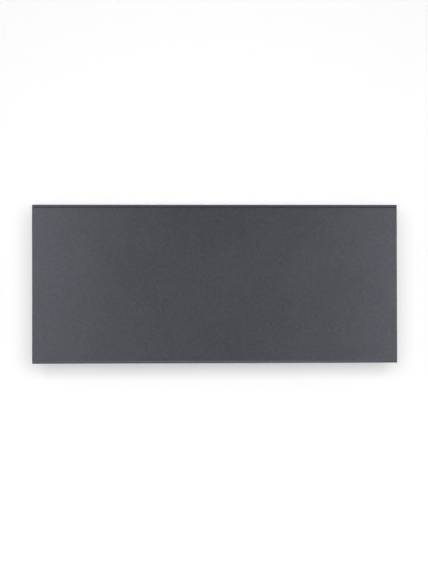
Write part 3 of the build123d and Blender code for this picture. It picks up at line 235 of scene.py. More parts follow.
def drawn_group():
    """Rolled or drawn metal: long streaks along one axis, with small stains."""
    inputs = {"Colour": grey, "Stretch": (1.0, 1.0, 1.0), "Streaks": 900.0, "Roughness": 0.3}
    group, given, result = new_group("drawn_metal", inputs)
    spot = object_spot(group)
    along = place(group, "ShaderNodeVectorMath", {0: spot, 1: given["Stretch"]}, operation="MULTIPLY")
    streak = noise(group, along["Vector"], given["Streaks"], 4.0)
    stain = noise(group, spot, 60.0, 5.0)
    gain = calculate(group, "ADD", remap(group, streak, 0.3, 0.7, 0.86, 1.08),
                     remap(group, stain, 0.35, 0.7, 0.04, -0.06))
    rough = calculate(group, "ADD", given["Roughness"], remap(group, streak, 0.3, 0.7, -0.06, 0.08))
    rough = calculate(group, "ADD", rough, remap(group, stain, 0.4, 0.7, 0.0, 0.08), clamp=True)
    tint = shaded(group, given["Colour"], gain)
    wire(group, result, {"Colour": tint, "Roughness": rough, "Height": streak})
    return group


def moulded_group():
    """Moulded plastic: a spark-eroded texture and faint flow marks."""
    inputs = {"Colour": grey, "Texture": 2500.0, "Roughness": 0.45}
    group, given, result = new_group("moulded_texture", inputs)
    spot = object_spot(group)
    erosion = cells(group, spot, given["Texture"])["Distance"]
    flow = noise(group, spot, 35.0, 3.0, 1.2)
    gain = calculate(group, "ADD", remap(group, flow, 0.3, 0.7, 0.94, 1.05),
                     remap(group, erosion, 0.0, 0.8, -0.03, 0.03))
    rough = calculate(group, "ADD", given["Roughness"], remap(group, flow, 0.3, 0.7, -0.05, 0.06), clamp=True)
    tint = shaded(group, given["Colour"], gain)
    wire(group, result, {"Colour": tint, "Roughness": rough, "Height": erosion})
    return group


def dust_group():
    """Dust that settles on faces that look up: a mask from the normal, in patches and specks."""
    group, given, result = new_group("settled_dust", {"Amount": 0.3}, ["Mask"])
    normal = place(group, "ShaderNodeNewGeometry")["Normal"]
    upward = place(group, "ShaderNodeSeparateXYZ", {"Vector": normal})["Z"]
    spot = object_spot(group)
    patches = remap(group, noise(group, spot, 25.0, 6.0), 0.35, 0.75, 0.3, 1.0)
    specks = remap(group, noise(group, spot, 900.0, 2.0), 0.35, 0.6, 0.3, 1.0)
    mask = calculate(group, "MULTIPLY", remap(group, upward, 0.55, 1.0), patches)
    mask = calculate(group, "MULTIPLY", mask, specks)
    wire(group, result, {"Mask": calculate(group, "MULTIPLY", mask, given["Amount"], clamp=True)})
    return group


groups = {"powder": powder_group(), "drawn": drawn_group(), "moulded": moulded_group(), "dust": dust_group()}
materials = {}


def new_material(name, roughness=0.5, metallic=0.0, specular=0.5, coat=0.0, coat_roughness=0.1):
    """Material with a Principled BSDF whose constant values stand on its own sockets."""
    material = bpy.data.materials.new(name)
    material.use_nodes = True
    tree = material.node_tree
    shader = tree.nodes["Principled BSDF"]
    wire(tree, shader.inputs, {
        "Roughness": roughness, "Metallic": metallic, "Specular IOR Level": specular,
        "Coat Weight": coat, "Coat Roughness": coat_roughness,
    })
    materials[name] = material
    return tree, shader


def use_group(tree, name, inputs):
    """Outputs of one of the shared effects."""
    return place(tree, "ShaderNodeGroup", inputs, node_tree=groups[name])


def dress(tree, shader, effect, depth, **changed):
    """Feeds a shader a shared effect's colour, roughness and height, or what is given in their place, with
    the height as a bump of the given depth in metres."""
    feed = {key: changed.get(key, effect[key]) for key in ("Colour", "Roughness", "Height")}
    bump = place(tree, "ShaderNodeBump", {"Height": feed["Height"], "Distance": depth, "Strength": 1.0})
    skin = {"Base Color": feed["Colour"], "Roughness": feed["Roughness"], "Normal": bump["Normal"]}
    wire(tree, shader.inputs, skin)


def powder_coat(name, base, roughness, grain=1.2 * MM, shade=0.05, dust=0.0, specular=0.5):
    """Powder-coated steel with a faint blue sheen, and dust where it looks up."""
    tree, shader = new_material(name, roughness, specular=specular)
    shader.inputs["Specular Tint"].default_value = (0.84, 0.88, 1.0, 1.0)
    inputs = {"Colour": colour(*base), "Grain size": grain, "Shade": shade, "Roughness": roughness}
    grains = use_group(tree, "powder", inputs)
    finish = grains["Colour"]
    if dust:
        settled = use_group(tree, "dust", {"Amount": dust})["Mask"]
        finish = tinted(tree, settled, finish, colour(150, 146, 140))
    dress(tree, shader, grains, 0.02 * MM, Colour=finish)


def drawn_metal(name, base, roughness=0.3, stretch=(1.0, 1.0, 1.0), streaks=900.0, depth=0.004 * MM):
    """Bare metal: its streaks run along the axis that has the smallest stretch."""
    tree, shader = new_material(name, roughness, metallic=1.0)
    inputs = {"Colour": colour(*base), "Stretch": stretch, "Streaks": streaks, "Roughness": roughness}
    dress(tree, shader, use_group(tree, "drawn", inputs), depth)


def moulded(name, base, roughness=0.45, texture=2500.0, depth=0.01 * MM, coat=0.0):
    """Moulded plastic, ceramic or lacquer."""
    tree, shader = new_material(name, roughness, coat=coat)
    inputs = {"Colour": colour(*base), "Texture": texture, "Roughness": roughness}
    dress(tree, shader, use_group(tree, "moulded", inputs), depth)


def spangled(name, base, roughness=0.38):
    """Hot-dip galvanised sheet: zinc crystals a few millimetres wide, each with its own shade and gloss."""
    tree, shader = new_material(name, roughness, metallic=1.0)
    crystal = cells(tree, object_spot(tree), 160.0)["Color"]
    own = place(tree, "ShaderNodeSeparateXYZ", {"Vector": crystal})
    inputs = {"Colour": colour(*base), "Stretch": (1.0, 1.0, 0.2), "Streaks": 700.0, "Roughness": roughness}
    grains = use_group(tree, "drawn", inputs)
    finish = shaded(tree, grains["Colour"], remap(tree, own["X"], 0.0, 1.0, 0.82, 1.08))
    gloss = remap(tree, own["Y"], 0.0, 1.0, -0.06, 0.1)
    rough = calculate(tree, "ADD", grains["Roughness"], gloss, clamp=True)
    dress(tree, shader, grains, 0.01 * MM, Colour=finish, Roughness=rough, Height=own["Z"])


def laminate(name, mask_colour, copper_colour):
    """Circuit board: solder mask over copper tracks, seen as a slightly lighter net of lines, and pads."""
    roughness = 0.32
    tree, shader = new_material(name, roughness, coat=0.3)
    spot = object_spot(tree)
    net = cells(tree, spot, 190.0, 0.35, feature="DISTANCE_TO_EDGE")["Distance"]
    track = remap(tree, net, 0.05, 0.08, 1.0, 0.0)
    pad = remap(tree, cells(tree, spot, 190.0, 0.35)["Distance"], 0.12, 0.14, 1.0, 0.0)
    board = tinted(tree, track, colour(*mask_colour), colour(*copper_colour))
    board = tinted(tree, pad, board, colour(190, 190, 186))
    weave = use_group(tree, "moulded", {"Colour": board, "Texture": 3000.0, "Roughness": roughness})
    dress(tree, shader, weave, 0.035 * MM, Height=calculate(tree, "MAXIMUM", track, pad))


def insulation(name, base, roughness=0.4):
    """Wire insulation: an even skin with shallow ripples."""
    moulded(name, base, roughness, texture=900.0, depth=0.02 * MM)


def striped_insulation(name, base, stripe_colour):
    """Insulation with a band of a second colour along the wire, where the ring's cosine is high."""
    tree, shader = new_material(name, 0.4)
    around = place(tree, "ShaderNodeAttribute", attribute_name="stripe")["Fac"]
    striped = tinted(tree, remap(tree, around, 0.45, 0.5), colour(*base), colour(*stripe_colour))
    dress(tree, shader, use_group(tree, "moulded", {"Colour": striped, "Texture": 900.0}), 0.02 * MM)


def smoked_window(name, base):
    """Smoked acrylic with fine wiping marks in its colour and gloss."""
    tree, shader = new_material(name, 0.06, coat=0.5, coat_roughness=0.04)
    wipes = noise(tree, object_spot(tree), 400.0, 6.0, 2.0)
    wire(tree, shader.inputs, {
        "Base Color": tinted(tree, remap(tree, wipes, 0.4, 0.7), colour(*base), colour(66, 66, 68)),
        "Roughness": remap(tree, wipes, 0.35, 0.7, 0.04, 0.12),
        "Transmission Weight": 0.85,
        "IOR": 1.49,
    })


# Materials: name, screen colour, roughness, and what differs from the usual
powder_coat("front_coat", (43, 43, 47), 0.35, 1.7 * MM, 0.17, specular=0.38)
powder_coat("grille_coat", (38, 39, 45), 0.48, dust=0.1)
powder_coat("casing_coat", (44, 45, 52), 0.52, dust=0.15)
powder_coat("bracket_coat", (40, 40, 43), 0.55, shade=0.06, dust=0.2)
drawn_metal("spring_steel", (146, 148, 152), 0.26, (1.0, 1.0, 0.04))
drawn_metal("zinc_screw", (186, 188, 184), streaks=500.0)
drawn_metal("dark_screw", (58, 58, 60), 0.38, streaks=500.0)
spangled("galvanised", (188, 192, 194))
drawn_metal("shield_foil", (206, 208, 210), 0.16, (0.02, 1.0, 1.0), 1400.0, 0.01 * MM)
drawn_metal("fin_aluminium", (196, 197, 199), 0.34, (1.0, 0.05, 0.05), 1200.0)
drawn_metal("sheath_steel", (150, 142, 132), 0.3, (0.02, 1.0, 1.0), 800.0)
moulded("bush_ceramic", (226, 222, 210), 0.35, 1600.0, 0.02 * MM, coat=0.2)
moulded("cutout_body", (52, 40, 34), 0.4, 1800.0)
drawn_metal("cutout_cap", (198, 200, 202), 0.24, streaks=700.0)
laminate("board_laminate", (24, 76, 47), (34, 93, 56))
moulded("white_nylon", (222, 220, 212), 0.5, 1500.0)
moulded("relay_case", (28, 44, 84), 0.3, 3000.0)
moulded("transformer_case", (196, 168, 60), 0.42, 1200.0)
moulded("capacitor_sleeve", (32, 34, 46), 0.22, 900.0, coat=0.4)
moulded("terminal_green", (40, 128, 74), 0.42, 2200.0)
moulded("gland_nylon", (34, 34, 36), 0.5, 2000.0)
drawn_metal("blade_brass", (204, 178, 108), 0.28, (1.0, 1.0, 0.1))
moulded("switch_plastic", (30, 30, 32), 0.4, 2400.0)
moulded("rocker_plastic", (24, 24, 26), 0.25, 3000.0, 0.005 * MM)
moulded("sensor_epoxy", (34, 30, 28), 0.15, 600.0, coat=0.6)
insulation("mains_wire", (110, 62, 34))
insulation("element_lead", (214, 208, 196), 0.55)
insulation("earth_lead", (90, 148, 52))
insulation("sensor_lead", (30, 30, 32))
insulation("ribbon_lead", (156, 158, 162))
moulded("housing_plastic", (36, 36, 38), 0.5, 2200.0)
moulded("fascia_plastic", (26, 26, 29), 0.28, 3200.0, 0.004 * MM, coat=0.15)
smoked_window("window_tint", (40, 40, 43))
moulded("display_plastic", (18, 18, 20), 0.5, 2600.0)
drawn_metal("radio_can", (176, 178, 180), 0.3, (1.0, 0.05, 1.0))
moulded("tact_plastic", (40, 40, 42), 0.4, 2600.0)
moulded("button_plastic", (48, 48, 52), 0.42, 2800.0, 0.006 * MM)
drawn_metal("core_laminations", (84, 82, 80), 0.45, (1.0, 1.0, 0.02), 1500.0)
moulded("chip_resin", (28, 28, 30), 0.5, 3500.0)
moulded("surge_lacquer", (28, 74, 128), 0.25, 1200.0, coat=0.3)
moulded("resistor_lacquer", (120, 168, 186), 0.3, 1500.0, coat=0.2)
drawn_metal("solder", (196, 198, 200), 0.2, streaks=600.0)
moulded("soft_rubber", (20, 20, 21), 0.7, 1500.0)
moulded("white_print", (214, 214, 212), 0.5, 3000.0, 0.002 * MM)
moulded("unlit_segment", (70, 72, 74), 0.5, 3000.0, 0.002 * MM)
laminate("control_laminate", (20, 44, 84), (34, 66, 112))
drawn_metal("copper_track", (212, 176, 96), 0.25, streaks=600.0)
insulation("live_wire", (104, 58, 32))
insulation("neutral_wire", (36, 84, 160))
striped_insulation("striped_wire", (46, 124, 52), (222, 204, 40))

slot_of = {}
for name, node in nodes.items():
    slot_of[name] = node.data.materials[0].name.split(".")[0]
    node.data.materials.clear()
    node.data.materials.append(materials[slot_of[name]])


# Shapes: grids of points in millimetres, which become surfaces of four-cornered faces
def surface(points, closed_u=False, closed_v=False, keep=None):
    """Faces over a grid of points: point (i, j) is joined to (i + 1, j), (i + 1, j + 1) and (i, j + 1).
    keep says for each face of the grid whether it stays."""
    rows, columns = points.shape[:2]
    index = np.arange(rows * columns).reshape(rows, columns)
    index = np.vstack([index, index[:1]]) if closed_u else index
    index = np.hstack([index, index[:, :1]]) if closed_v else index
    faces = np.stack([index[:-1, :-1], index[1:, :-1], index[1:, 1:], index[:-1, 1:]], axis=-1)
    faces = faces if keep is None else faces[keep]
    return points.reshape(-1, 3), faces.reshape(-1, 4)


def joined(surfaces):
    """One pair of points and faces from several."""
    starts = np.cumsum([0] + [len(points) for points, faces in surfaces[:-1]])
    points = np.concatenate([points for points, faces in surfaces])
    faces = np.concatenate([faces + start for (_, faces), start in zip(surfaces, starts)])
    return points, faces


def placed(points, origin, across, along):
    """Points (u, v, w) of a shape in the heater's frame: origin + u across + v along + w (across x along)."""
    axes = np.array([across, along, np.cross(across, along)], float)
    return np.asarray(origin, float) + points @ axes


def spread(shape, places, way, closed_u=False):
    """Surfaces of one shape, whose rings close on themselves, at several places."""
    return [surface(placed(shape, place, **way), closed_u, closed_v=True) for place in places]


def ring_shapes(shape, places, way):
    """Surfaces of one shape that closes both ways, as a ring does, at several places."""
    return spread(shape, places, way, closed_u=True)


def turned(radii, levels, sides=32, corners=0):
    """Turned shape: each pair of radius r and level w is a ring (r cos a, r sin a, w). With corners, the ring
    is a polygon whose corners are at r: r cos(pi / n) / cos(distance to the side's middle)."""
    angle = np.linspace(0, 2 * pi, sides, endpoint=False)
    stretch = np.ones(sides)
    if corners:
        side = 2 * pi / corners
        stretch = np.cos(side / 2) / np.cos(np.mod(angle, side) - side / 2)
    radius = np.array(radii, float)[:, None] * stretch
    level = np.array(levels, float)[:, None] + np.zeros(sides)
    return np.stack([radius * np.cos(angle), radius * np.sin(angle), level], axis=-1)


def rounded_outline(length, breadth, corner, steps=5):
    """Rectangle with rounded corners: each corner's centre + corner (cos a, sin a), a over its quarter."""
    turn = np.linspace(0, pi / 2, steps + 1)
    angle = (np.arange(4)[:, None] * pi / 2 + turn).ravel()
    centre_u = (length / 2 - corner) * np.repeat([1, -1, -1, 1], steps + 1)
    centre_v = (breadth / 2 - corner) * np.repeat([1, 1, -1, -1], steps + 1)
    return np.stack([centre_u + corner * np.cos(angle), centre_v + corner * np.sin(angle)], axis=-1)


def raised(outline, level):
    """Outline of points (u, v) at a level w."""
    return np.column_stack([outline, np.full(len(outline), float(level))])


def slab(length, breadth, low, high, corner=1.0, edge=0.2, steps=3):
    """Flat block between two levels: rounded outlines that shrink by edge (1 - cos a) while they near the top
    or bottom by edge sin a, closed to the middle."""
    turn = np.linspace(0, pi / 2, steps + 1)
    inset = edge * (1 - np.cos(turn))
    rise = edge * np.sin(turn)
    insets = np.concatenate([inset[::-1], inset])
    levels = np.concatenate([low + edge - rise[::-1], high - edge + rise])
    rings = [
        raised(rounded_outline(length - 2 * by, breadth - 2 * by, max(corner - by, 0.01)), level)
        for by, level in zip(insets, levels)
    ]
    middle_low = np.zeros_like(rings[0]) + (0, 0, low)
    middle_high = np.zeros_like(rings[0]) + (0, 0, high)
    return np.stack([middle_low, *rings, middle_high])


def washer(outer, inner, low, high, corners=0, edge=0.2):
    """Flat ring or spacer with rounded edges outside and a straight bore."""
    radii = [outer - edge, outer - 0.3 * edge, outer, outer, outer - 0.3 * edge, outer - edge]
    levels = [low, low + 0.3 * edge, low + edge, high - edge, high - 0.3 * edge, high]
    return np.concatenate([turned(radii, levels, 48, corners), turned([inner, inner], [high, low], 48)])


# Screws: heads whose rings r = t r_head sink by a recess, with a side and a thread below
head_sides = 40
head_rings = 14


def sink_cross(head, reach, width, depth):
    """Sinks a cross recess in a head: the deeper of two tapered arms, each falling off over a fifth of its
    reach and two fifths of its width."""
    u, v = abs(head[..., 0]), abs(head[..., 1])
    arm_u = np.clip((reach - u) / (0.2 * reach), 0, 1) * np.clip((width - v) / (0.4 * width), 0, 1)
    arm_v = np.clip((reach - v) / (0.2 * reach), 0, 1) * np.clip((width - u) / (0.4 * width), 0, 1)
    head[..., 2] -= depth * np.maximum(arm_u, arm_v)


def thread(length, radius, pitch=1.0, taper=1.2):
    """Screw thread from level 0 down: r = radius - depth |2 f - 1|, f the fraction of
    (level / pitch + angle / 360), drawn in to a point over the taper."""
    angle = np.linspace(0, 2 * pi, head_sides, endpoint=False)
    level = -np.linspace(0, length, int(8 * length / pitch) + 1)[:, None] + np.zeros(head_sides)
    fraction = np.mod(level / pitch + angle / (2 * pi), 1)
    depth = 0.22 * radius
    reach = radius - depth * abs(2 * fraction - 1)
    reach = reach * np.clip((length + level) / taper, 0, 1) ** 0.6
    return np.stack([reach * np.cos(angle), reach * np.sin(angle), level], axis=-1)


def hex_screw(length, radius=1.6, head_radius=3.4, head_height=1.8):
    """Hex-headed screw: rings r = t r_hex over the head, which falls by tan 30 degrees outside its chamfer
    circle and sinks in its cross recess, then the side, the bearing face and the thread."""
    head = turned(np.linspace(0, head_radius, head_rings), np.full(head_rings, head_height), head_sides, 6)
    reach = np.hypot(head[..., 0], head[..., 1])
    head[..., 2] -= 0.577 * np.maximum(reach - 0.8 * head_radius, 0)
    sink_cross(head, 0.5 * head_radius, 0.13 * head_radius, 0.5 * head_height)
    side = turned([head_radius, head_radius, radius], [0.15, 0, 0], head_sides, 6)
    return np.concatenate([head, side, thread(length, radius)])


def sunk_screw(length, radius, head_radius, sunk):
    """Countersunk screw: a flat head with its cross recess, a cone of the sunk height, and the thread."""
    head = turned(np.linspace(0, head_radius, head_rings), np.zeros(head_rings), head_sides)
    sink_cross(head, 0.6 * head_radius, 0.13 * head_radius, 0.6 * sunk)
    side = turned([head_radius, radius], [0, -sunk], head_sides)
    return np.concatenate([head, side, thread(length, radius) - (0, 0, sunk)])


def slotted_head(radius, height):
    """Cheese head with a slot right across it and a rounded edge, closed below."""
    head = turned(np.linspace(0, 0.92 * radius, head_rings), np.full(head_rings, height), head_sides)
    slot_width = 0.16 * radius
    head[..., 2] -= 0.45 * height * np.clip((slot_width - abs(head[..., 1])) / (0.2 * slot_width), 0, 1)
    side = turned([0.98 * radius, radius, radius, 0], [height - 0.05, height - 0.25, 0, 0], head_sides)
    return np.concatenate([head, side])


# Objects from shapes
def finish_piece(made, node, replaced, edge=0.0, smooth=38.0, material=None):
    """Dresses a piece that goes with a CAD node: material chosen by the node's slot, body, rounded edges and
    smooth shading.
    """
    body = nodes[node]["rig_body"]
    slot = slot_of[node]
    made.data.materials.clear()
    made.data.materials.append(materials[material or slot])
    made.data.polygons.foreach_set("use_smooth", np.ones(len(made.data.polygons), bool))
    made.data.set_sharp_from_angle(angle=radians(smooth))
    if edge:
        bevel = made.modifiers.new("rounded_edges", "BEVEL")
        bevel.width = edge * MM
        bevel.segments = 2
        bevel.limit_method = "ANGLE"
        bevel.angle_limit = radians(smooth)
        bevel.harden_normals = True
    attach(made, body)
    if replaced:
        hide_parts(*replaced)


def new_piece(name, mesh, merged=None):
    """Object in the scene from a mesh. Faces that meet under the merged angle, in degrees, become one."""
    shape = bmesh.new()
    shape.from_mesh(mesh)
    bmesh.ops.remove_doubles(shape, verts=shape.verts, dist=0.002 * MM)
    if merged is not None:
        bmesh.ops.dissolve_limit(shape, angle_limit=radians(merged), verts=shape.verts, edges=shape.edges)
    bmesh.ops.recalc_face_normals(shape, faces=shape.faces)
    shape.to_mesh(mesh)
    shape.free()
    made = bpy.data.objects.new(name, mesh)
    scene.collection.objects.link(made)
    return made


def piece(name, node, surfaces, **finish):
    """Piece from surfaces in millimetres, which goes with a CAD node and replaces it."""
    points, faces = joined(surfaces)
    mesh = bpy.data.meshes.new(name)
    mesh.from_pydata(points * MM, [], faces)
    finish_piece(new_piece(name, mesh), node, **{"replaced": [node], **finish})


def added(name, node, material, surfaces, **finish):
    """Piece that goes with a CAD node and leaves it to another piece to replace it, in its own material."""
    piece(name, node, surfaces, replaced=[], material=material, **finish)


def refined(name, node, edge):
    """Piece with a CAD node's shape: its facets merged into flat faces, its edges rounded off."""
    finish_piece(new_piece(name, nodes[node].data.copy(), merged=0.5), node, [node], edge=edge)


# Front panel and top grille: folded sheets
def fold_stations(low, high, low_bend, high_bend, between):
    """Places across a folded sheet: close together over its two bends, one just inside each so that the face
    stays flat in its shading, and the given places between them."""
    turn = np.append(1 - np.cos(np.linspace(0, pi / 2, 9)), 1.2)
    return np.concatenate([low + low_bend * turn, between, (high - high_bend * turn)[::-1]])


def fold_drop(inside, bend):
    """Drop of a bent edge at a distance inside its border: bend - sqrt(bend^2 - (bend - inside)^2)."""
    short = bend - np.clip(inside, 0, bend)
    return bend - np.sqrt(np.maximum(bend**2 - short**2, 0))


def folded_skin(low, high, bends, between, levels, windows):
    """One skin of a sheet with its four edges folded, in its own frame: u across, v along, w out of its face.
    bends are the radii at the low u, high u, low v and high v edges, levels the face and the free edge. Faces
    whose middle is in a window are left out. Gives the face's surface, the ring where the walls start, and
    the ring of the free edge."""
    u = fold_stations(low[0], high[0], bends[0], bends[1], between[0])
    v = fold_stations(low[1], high[1], bends[2], bends[3], between[1])
    grid_u, grid_v = np.meshgrid(u, v, indexing="ij")
    drop = np.maximum.reduce([
        fold_drop(grid_u - low[0], bends[0]),
        fold_drop(high[0] - grid_u, bends[1]),
        fold_drop(grid_v - low[1], bends[2]),
        fold_drop(high[1] - grid_v, bends[3]),
    ])
    face = np.stack([grid_u, grid_v, levels[0] - drop], axis=-1)
    middle_u, middle_v = np.meshgrid((u[1:] + u[:-1]) / 2, (v[1:] + v[:-1]) / 2, indexing="ij")
    keep = np.ones(middle_u.shape, bool)
    for u_low, u_high, v_low, v_high in windows:
        keep &= (middle_u < u_low) | (middle_u > u_high) | (middle_v < v_low) | (middle_v > v_high)
    rim = np.concatenate([face[:-1, 0], face[-1, :-1], face[:0:-1, -1], face[0, :0:-1]])
    foot = rim.copy()
    foot[:, 2] = levels[1]
    return surface(face, keep=keep), rim, foot


def folded_sheet(low, high, bends, between, levels, sheet, windows=(), gaps=()):
    """Both skins of a folded sheet with their walls, and the free edge between them. gaps are the ranges of u
    in which the wall at the low v edge is left out."""
    surfaces = []
    feet = []
    for inset in (0, sheet):
        low_in, high_in = low + inset, high - inset
        bends_in = [bend - inset for bend in bends]
        levels_in = (levels[0] - inset, levels[1])
        skin, rim, foot = folded_skin(low_in, high_in, bends_in, between, levels_in, windows)
        middle = (rim[:, 0] + np.roll(rim[:, 0], -1)) / 2
        whole = np.ones((1, len(rim)), bool)
        for u_low, u_high in gaps:
            whole[0] &= (middle < u_low) | (middle > u_high) | (rim[:, 1] > low_in[1] + 0.01)
        surfaces += [skin, surface(np.stack([rim, foot]), closed_v=True, keep=whole)]
        feet.append(foot)
    return [*surfaces, surface(np.stack(feet), closed_v=True)]


def pierced(window, centre, outlines):
    """Sheet round an opening, from one skin through the edge of the opening to the other. outlines are pairs
    of an outline round the centre and its level. Each point of the first outline is joined to the window's
    corner in its own quarter, so the sheet meets its neighbours at those corners only."""
    u_low, u_high, v_low, v_high = window
    border = np.where(outlines[0][0] > 0, (u_high, v_high), (u_low, v_low)) - centre
    rings = [(border, outlines[0][1]), *outlines, (border, outlines[-1][1])]
    grid = np.stack([raised(outline, level) for outline, level in rings])
    return surface(grid + (*centre, 0), closed_v=True)


def punched_edge(length, breadth, corner, top, under, edge=0.2):
    """Outlines of an opening cut through a sheet, from its top to its underside, with a small radius at each
    and a narrow flat ring round it."""
    turn = np.linspace(0, pi / 2, 4)
    grown = np.append(1.5 * edge, edge * (1 - np.sin(turn)))
    down = np.append(0, edge * (1 - np.cos(turn)))
    rings = [*zip(grown, top - down), *zip(grown[::-1], under + down[::-1])]
    return [(rounded_outline(length + 2 * by, breadth + 2 * by, corner + by), level) for by, level in rings]


def make_front():
    """Front sheet: outer and inner skin with folded edges, the free edge, and two countersunk holes below."""
    low, high = front_low[[0, 2]], front_high[[0, 2]]
    bends = (front_bend, front_bend, front_bottom_bend, front_bend)
    gaps = [(x - 5, x + 5) for x in front_screw_xs]
    between = (np.ravel(gaps), np.linspace(-140, 140, 5))
    sheet = folded_sheet(low, high, bends, between, (-front_low[1], -front_high[1]), front_sheet, gaps=gaps)
    surfaces = [(placed(points, (0, 0, 0), **to_front), faces) for points, faces in sheet]
    circle = rounded_outline(2, 2, 1, 6)
    countersink = [
        (countersink_radius * circle, front_low[2]), (front_hole_radius * circle, front_low[2] + front_sheet)
    ]
    for x, gap in zip(front_screw_xs, gaps):
        window = (*gap, front_low[1] + front_bottom_bend, front_high[1])
        surfaces.append(pierced(window, (x, y_front_screw), countersink))
    piece("front_sheet", "front_panel", surfaces, smooth=50.0)


def make_grille():
    """Top grille: a lid with folded edges, slots with rounded ends and the opening for the controls."""
    low, high = grille_low[:2], grille_high[:2]
    top = grille_high[2]
    under = top - grille_sheet
    v_low, v_high = y_control - 20, y_control + 20
    cell_us = outlet_xs - outlet_pitch / 2
    slots_end = outlet_xs[-1] + outlet_pitch / 2
    fascia_window = (298.0, 384.0, v_low, v_high)
    between = (np.array([*cell_us, slots_end, *fascia_window[:2]]), np.array([v_low, v_high]))
    windows = ((cell_us[0], slots_end, v_low, v_high), fascia_window)
    surfaces = folded_sheet(low, high, [grille_bend] * 4, between, (top, grille_rim), grille_sheet, windows)
    slot = punched_edge(outlet_width, outlet_length, outlet_corner, top, under)
    for x, u_low in zip(outlet_xs, cell_us):
        surfaces.append(pierced((u_low, x + outlet_pitch / 2, v_low, v_high), (x, y_control), slot))
    fascia_opening = punched_edge(fascia_width, fascia_depth, fascia_corner, top, under)
    surfaces.append(pierced(fascia_window, (x_control, y_control), fascia_opening))
    skirt_place = (0, grille_high[1] - grille_sheet, (grille_rim + grille_low[2]) / 2)
    skirt = slab(grille_high[0] - grille_low[0], grille_rim - grille_low[2], 0, grille_sheet, 0.6, 0.15)
    surfaces += spread(skirt, [skirt_place], to_wall)
    piece("grille_sheet", "top_grille", surfaces, smooth=50.0)


make_front()
make_grille()

# Fasteners
skirt_screw_xs = (-x_side_screw, -x_hook / 2, x_hook / 2, x_side_screw)
z_skirt_screw = 160.7
side_screw_zs = (-99.5, 99.5)
x_earth, _, z_earth = seat("earth_screw", to_wall)
x_spring = seat("snap_spring_right", to_wall)[0]
boss_spot = seat("control_screws", to_wall)
pillar_spots = [(x_bay + x, z_board + z) for x in (-38, 38) for z in (-40, 40)]
skirt_screws = [(x, grille_high[1], z_skirt_screw) for x in skirt_screw_xs]
side_screws = [(x, y_case_back, z) for x in (-x_side_screw, x_side_screw) for z in side_screw_zs]
boss_screws = [(boss_spot[0] + x, y_case_back, boss_spot[2]) for x in (-20, 20)]
pillar_screws = [(x, y_board_face, z) for x, z in pillar_spots]
earth_post = [(x_earth, corners("earth_tag")[0][1], z_earth)]
for name, node, length, spots, way in (
    ("case_screws", "casing_screws", 6.0, skirt_screws + side_screws, to_wall),
    ("boss_screws", "control_screws", 6.0, boss_screws, to_wall),
    ("pillar_screws", "board_screws", 5.1, pillar_screws, to_front),
    ("earth_post", "earth_screw", 0.8, earth_post, to_front),
):
    piece(name, node, spread(hex_screw(length), spots, way), smooth=30)

lower_screws = [(x, y_front_screw, front_low[2]) for x in front_screw_xs]
lower_screw = sunk_screw(9.4, 1.5, 2.65, 1.2)
piece("sunk_screws", "front_screws", spread(lower_screw, lower_screws, to_floor), smooth=30)
_, y_clamp, z_block = seat("terminal_screws", to_front)
clamp_spots = [(x, y_clamp, z_block) for x in block_xs]
piece("clamp_screws", "terminal_screws", spread(slotted_head(2.4, 1.8), clamp_spots, to_front), smooth=30)

spacer_spots = [(x, y_front_screw, front_low[2] + front_sheet) for x in front_screw_xs]
piece("spacer_rings", "front_spacers", ring_shapes(washer(3.95, 1.62, 0.02, 1.98), spacer_spots, to_ceiling))
pillar = washer(3.2, 1.7, 0, 7.0, 6)
pillar_feet = [(x, y_case_inner, z) for x, z in pillar_spots]
piece("hex_pillars", "board_pillars", ring_shapes(pillar, pillar_feet, to_front), smooth=30)

dome = np.linspace(0, pi / 2, 7)
rivet = turned([*2.8 * np.sin(dome), 1.6, 1.6, 0], [*np.cos(dome), 0, -2.05, -2.05])
rivet_zs = (61.5, 75.5)
rivet_spots = [(x, -2.1, z) for x in (-x_spring, x_spring) for z in rivet_zs]
piece("domed_rivets", "spring_rivets", spread(rivet, rivet_spots, to_front), smooth=50)

# Heating element
rod_start = seat("element_core", to_right)
rod_length = corners("element_core")[1][0] - rod_start[0]
rod_end = rod_start + (rod_length, 0, 0)
rod = turned([0, 3.4, 4.05, 4.25, 4.25, 4.05, 3.6, 3.3, 3.3, 0],
             [0, 0, 0.25, 0.9, *rod_length - np.array([0.9, 0.25, 0, 0, 1.4, 1.4])], 48)
piece("sheathed_rod", "element_core", spread(rod, [rod_start], to_right), smooth=50)
seal = turned([0, 3.25, 3.25, 2.9, 0], [-1.4, -1.4, -0.5, -0.2, -0.2], 40)
added("rod_seal", "element_core", "bush_ceramic", spread(seal, [rod_end], to_right), smooth=50)
pin = turned([0, 1, 1, 0.75, 0], [-0.3, -0.3, 9.6, 10, 10], 24)
piece("rod_pins", "element_pins", spread(pin, [rod_end + (0, 0, z) for z in (-2, 2)], to_right))


def bush(plate):
    """Ceramic bush: two flanges with rounded rims and a groove for the plate between them, and the bore."""
    flange = 2.6
    half_radii = [11.2, 11.8, 12, 12, 11.8, 8.6]
    half_levels = np.array([0, 0.15, 0.6, 2.1, flange, flange])
    whole = plate + 2 * flange
    outside = turned([*half_radii, *half_radii[::-1]], [*half_levels, *whole - half_levels[::-1]], 48)
    return np.concatenate([outside, turned([5.0, 4.35, 4.35, 5.0], [whole, whole - 0.6, 0.6, 0], 48)])


for side, plate in (("left", 1.0), ("right", 0.8)):
    node = "element_bush_" + side
    piece(side + "_bush", node, ring_shapes(bush(plate), [seat(node, to_right)], to_right), smooth=50)

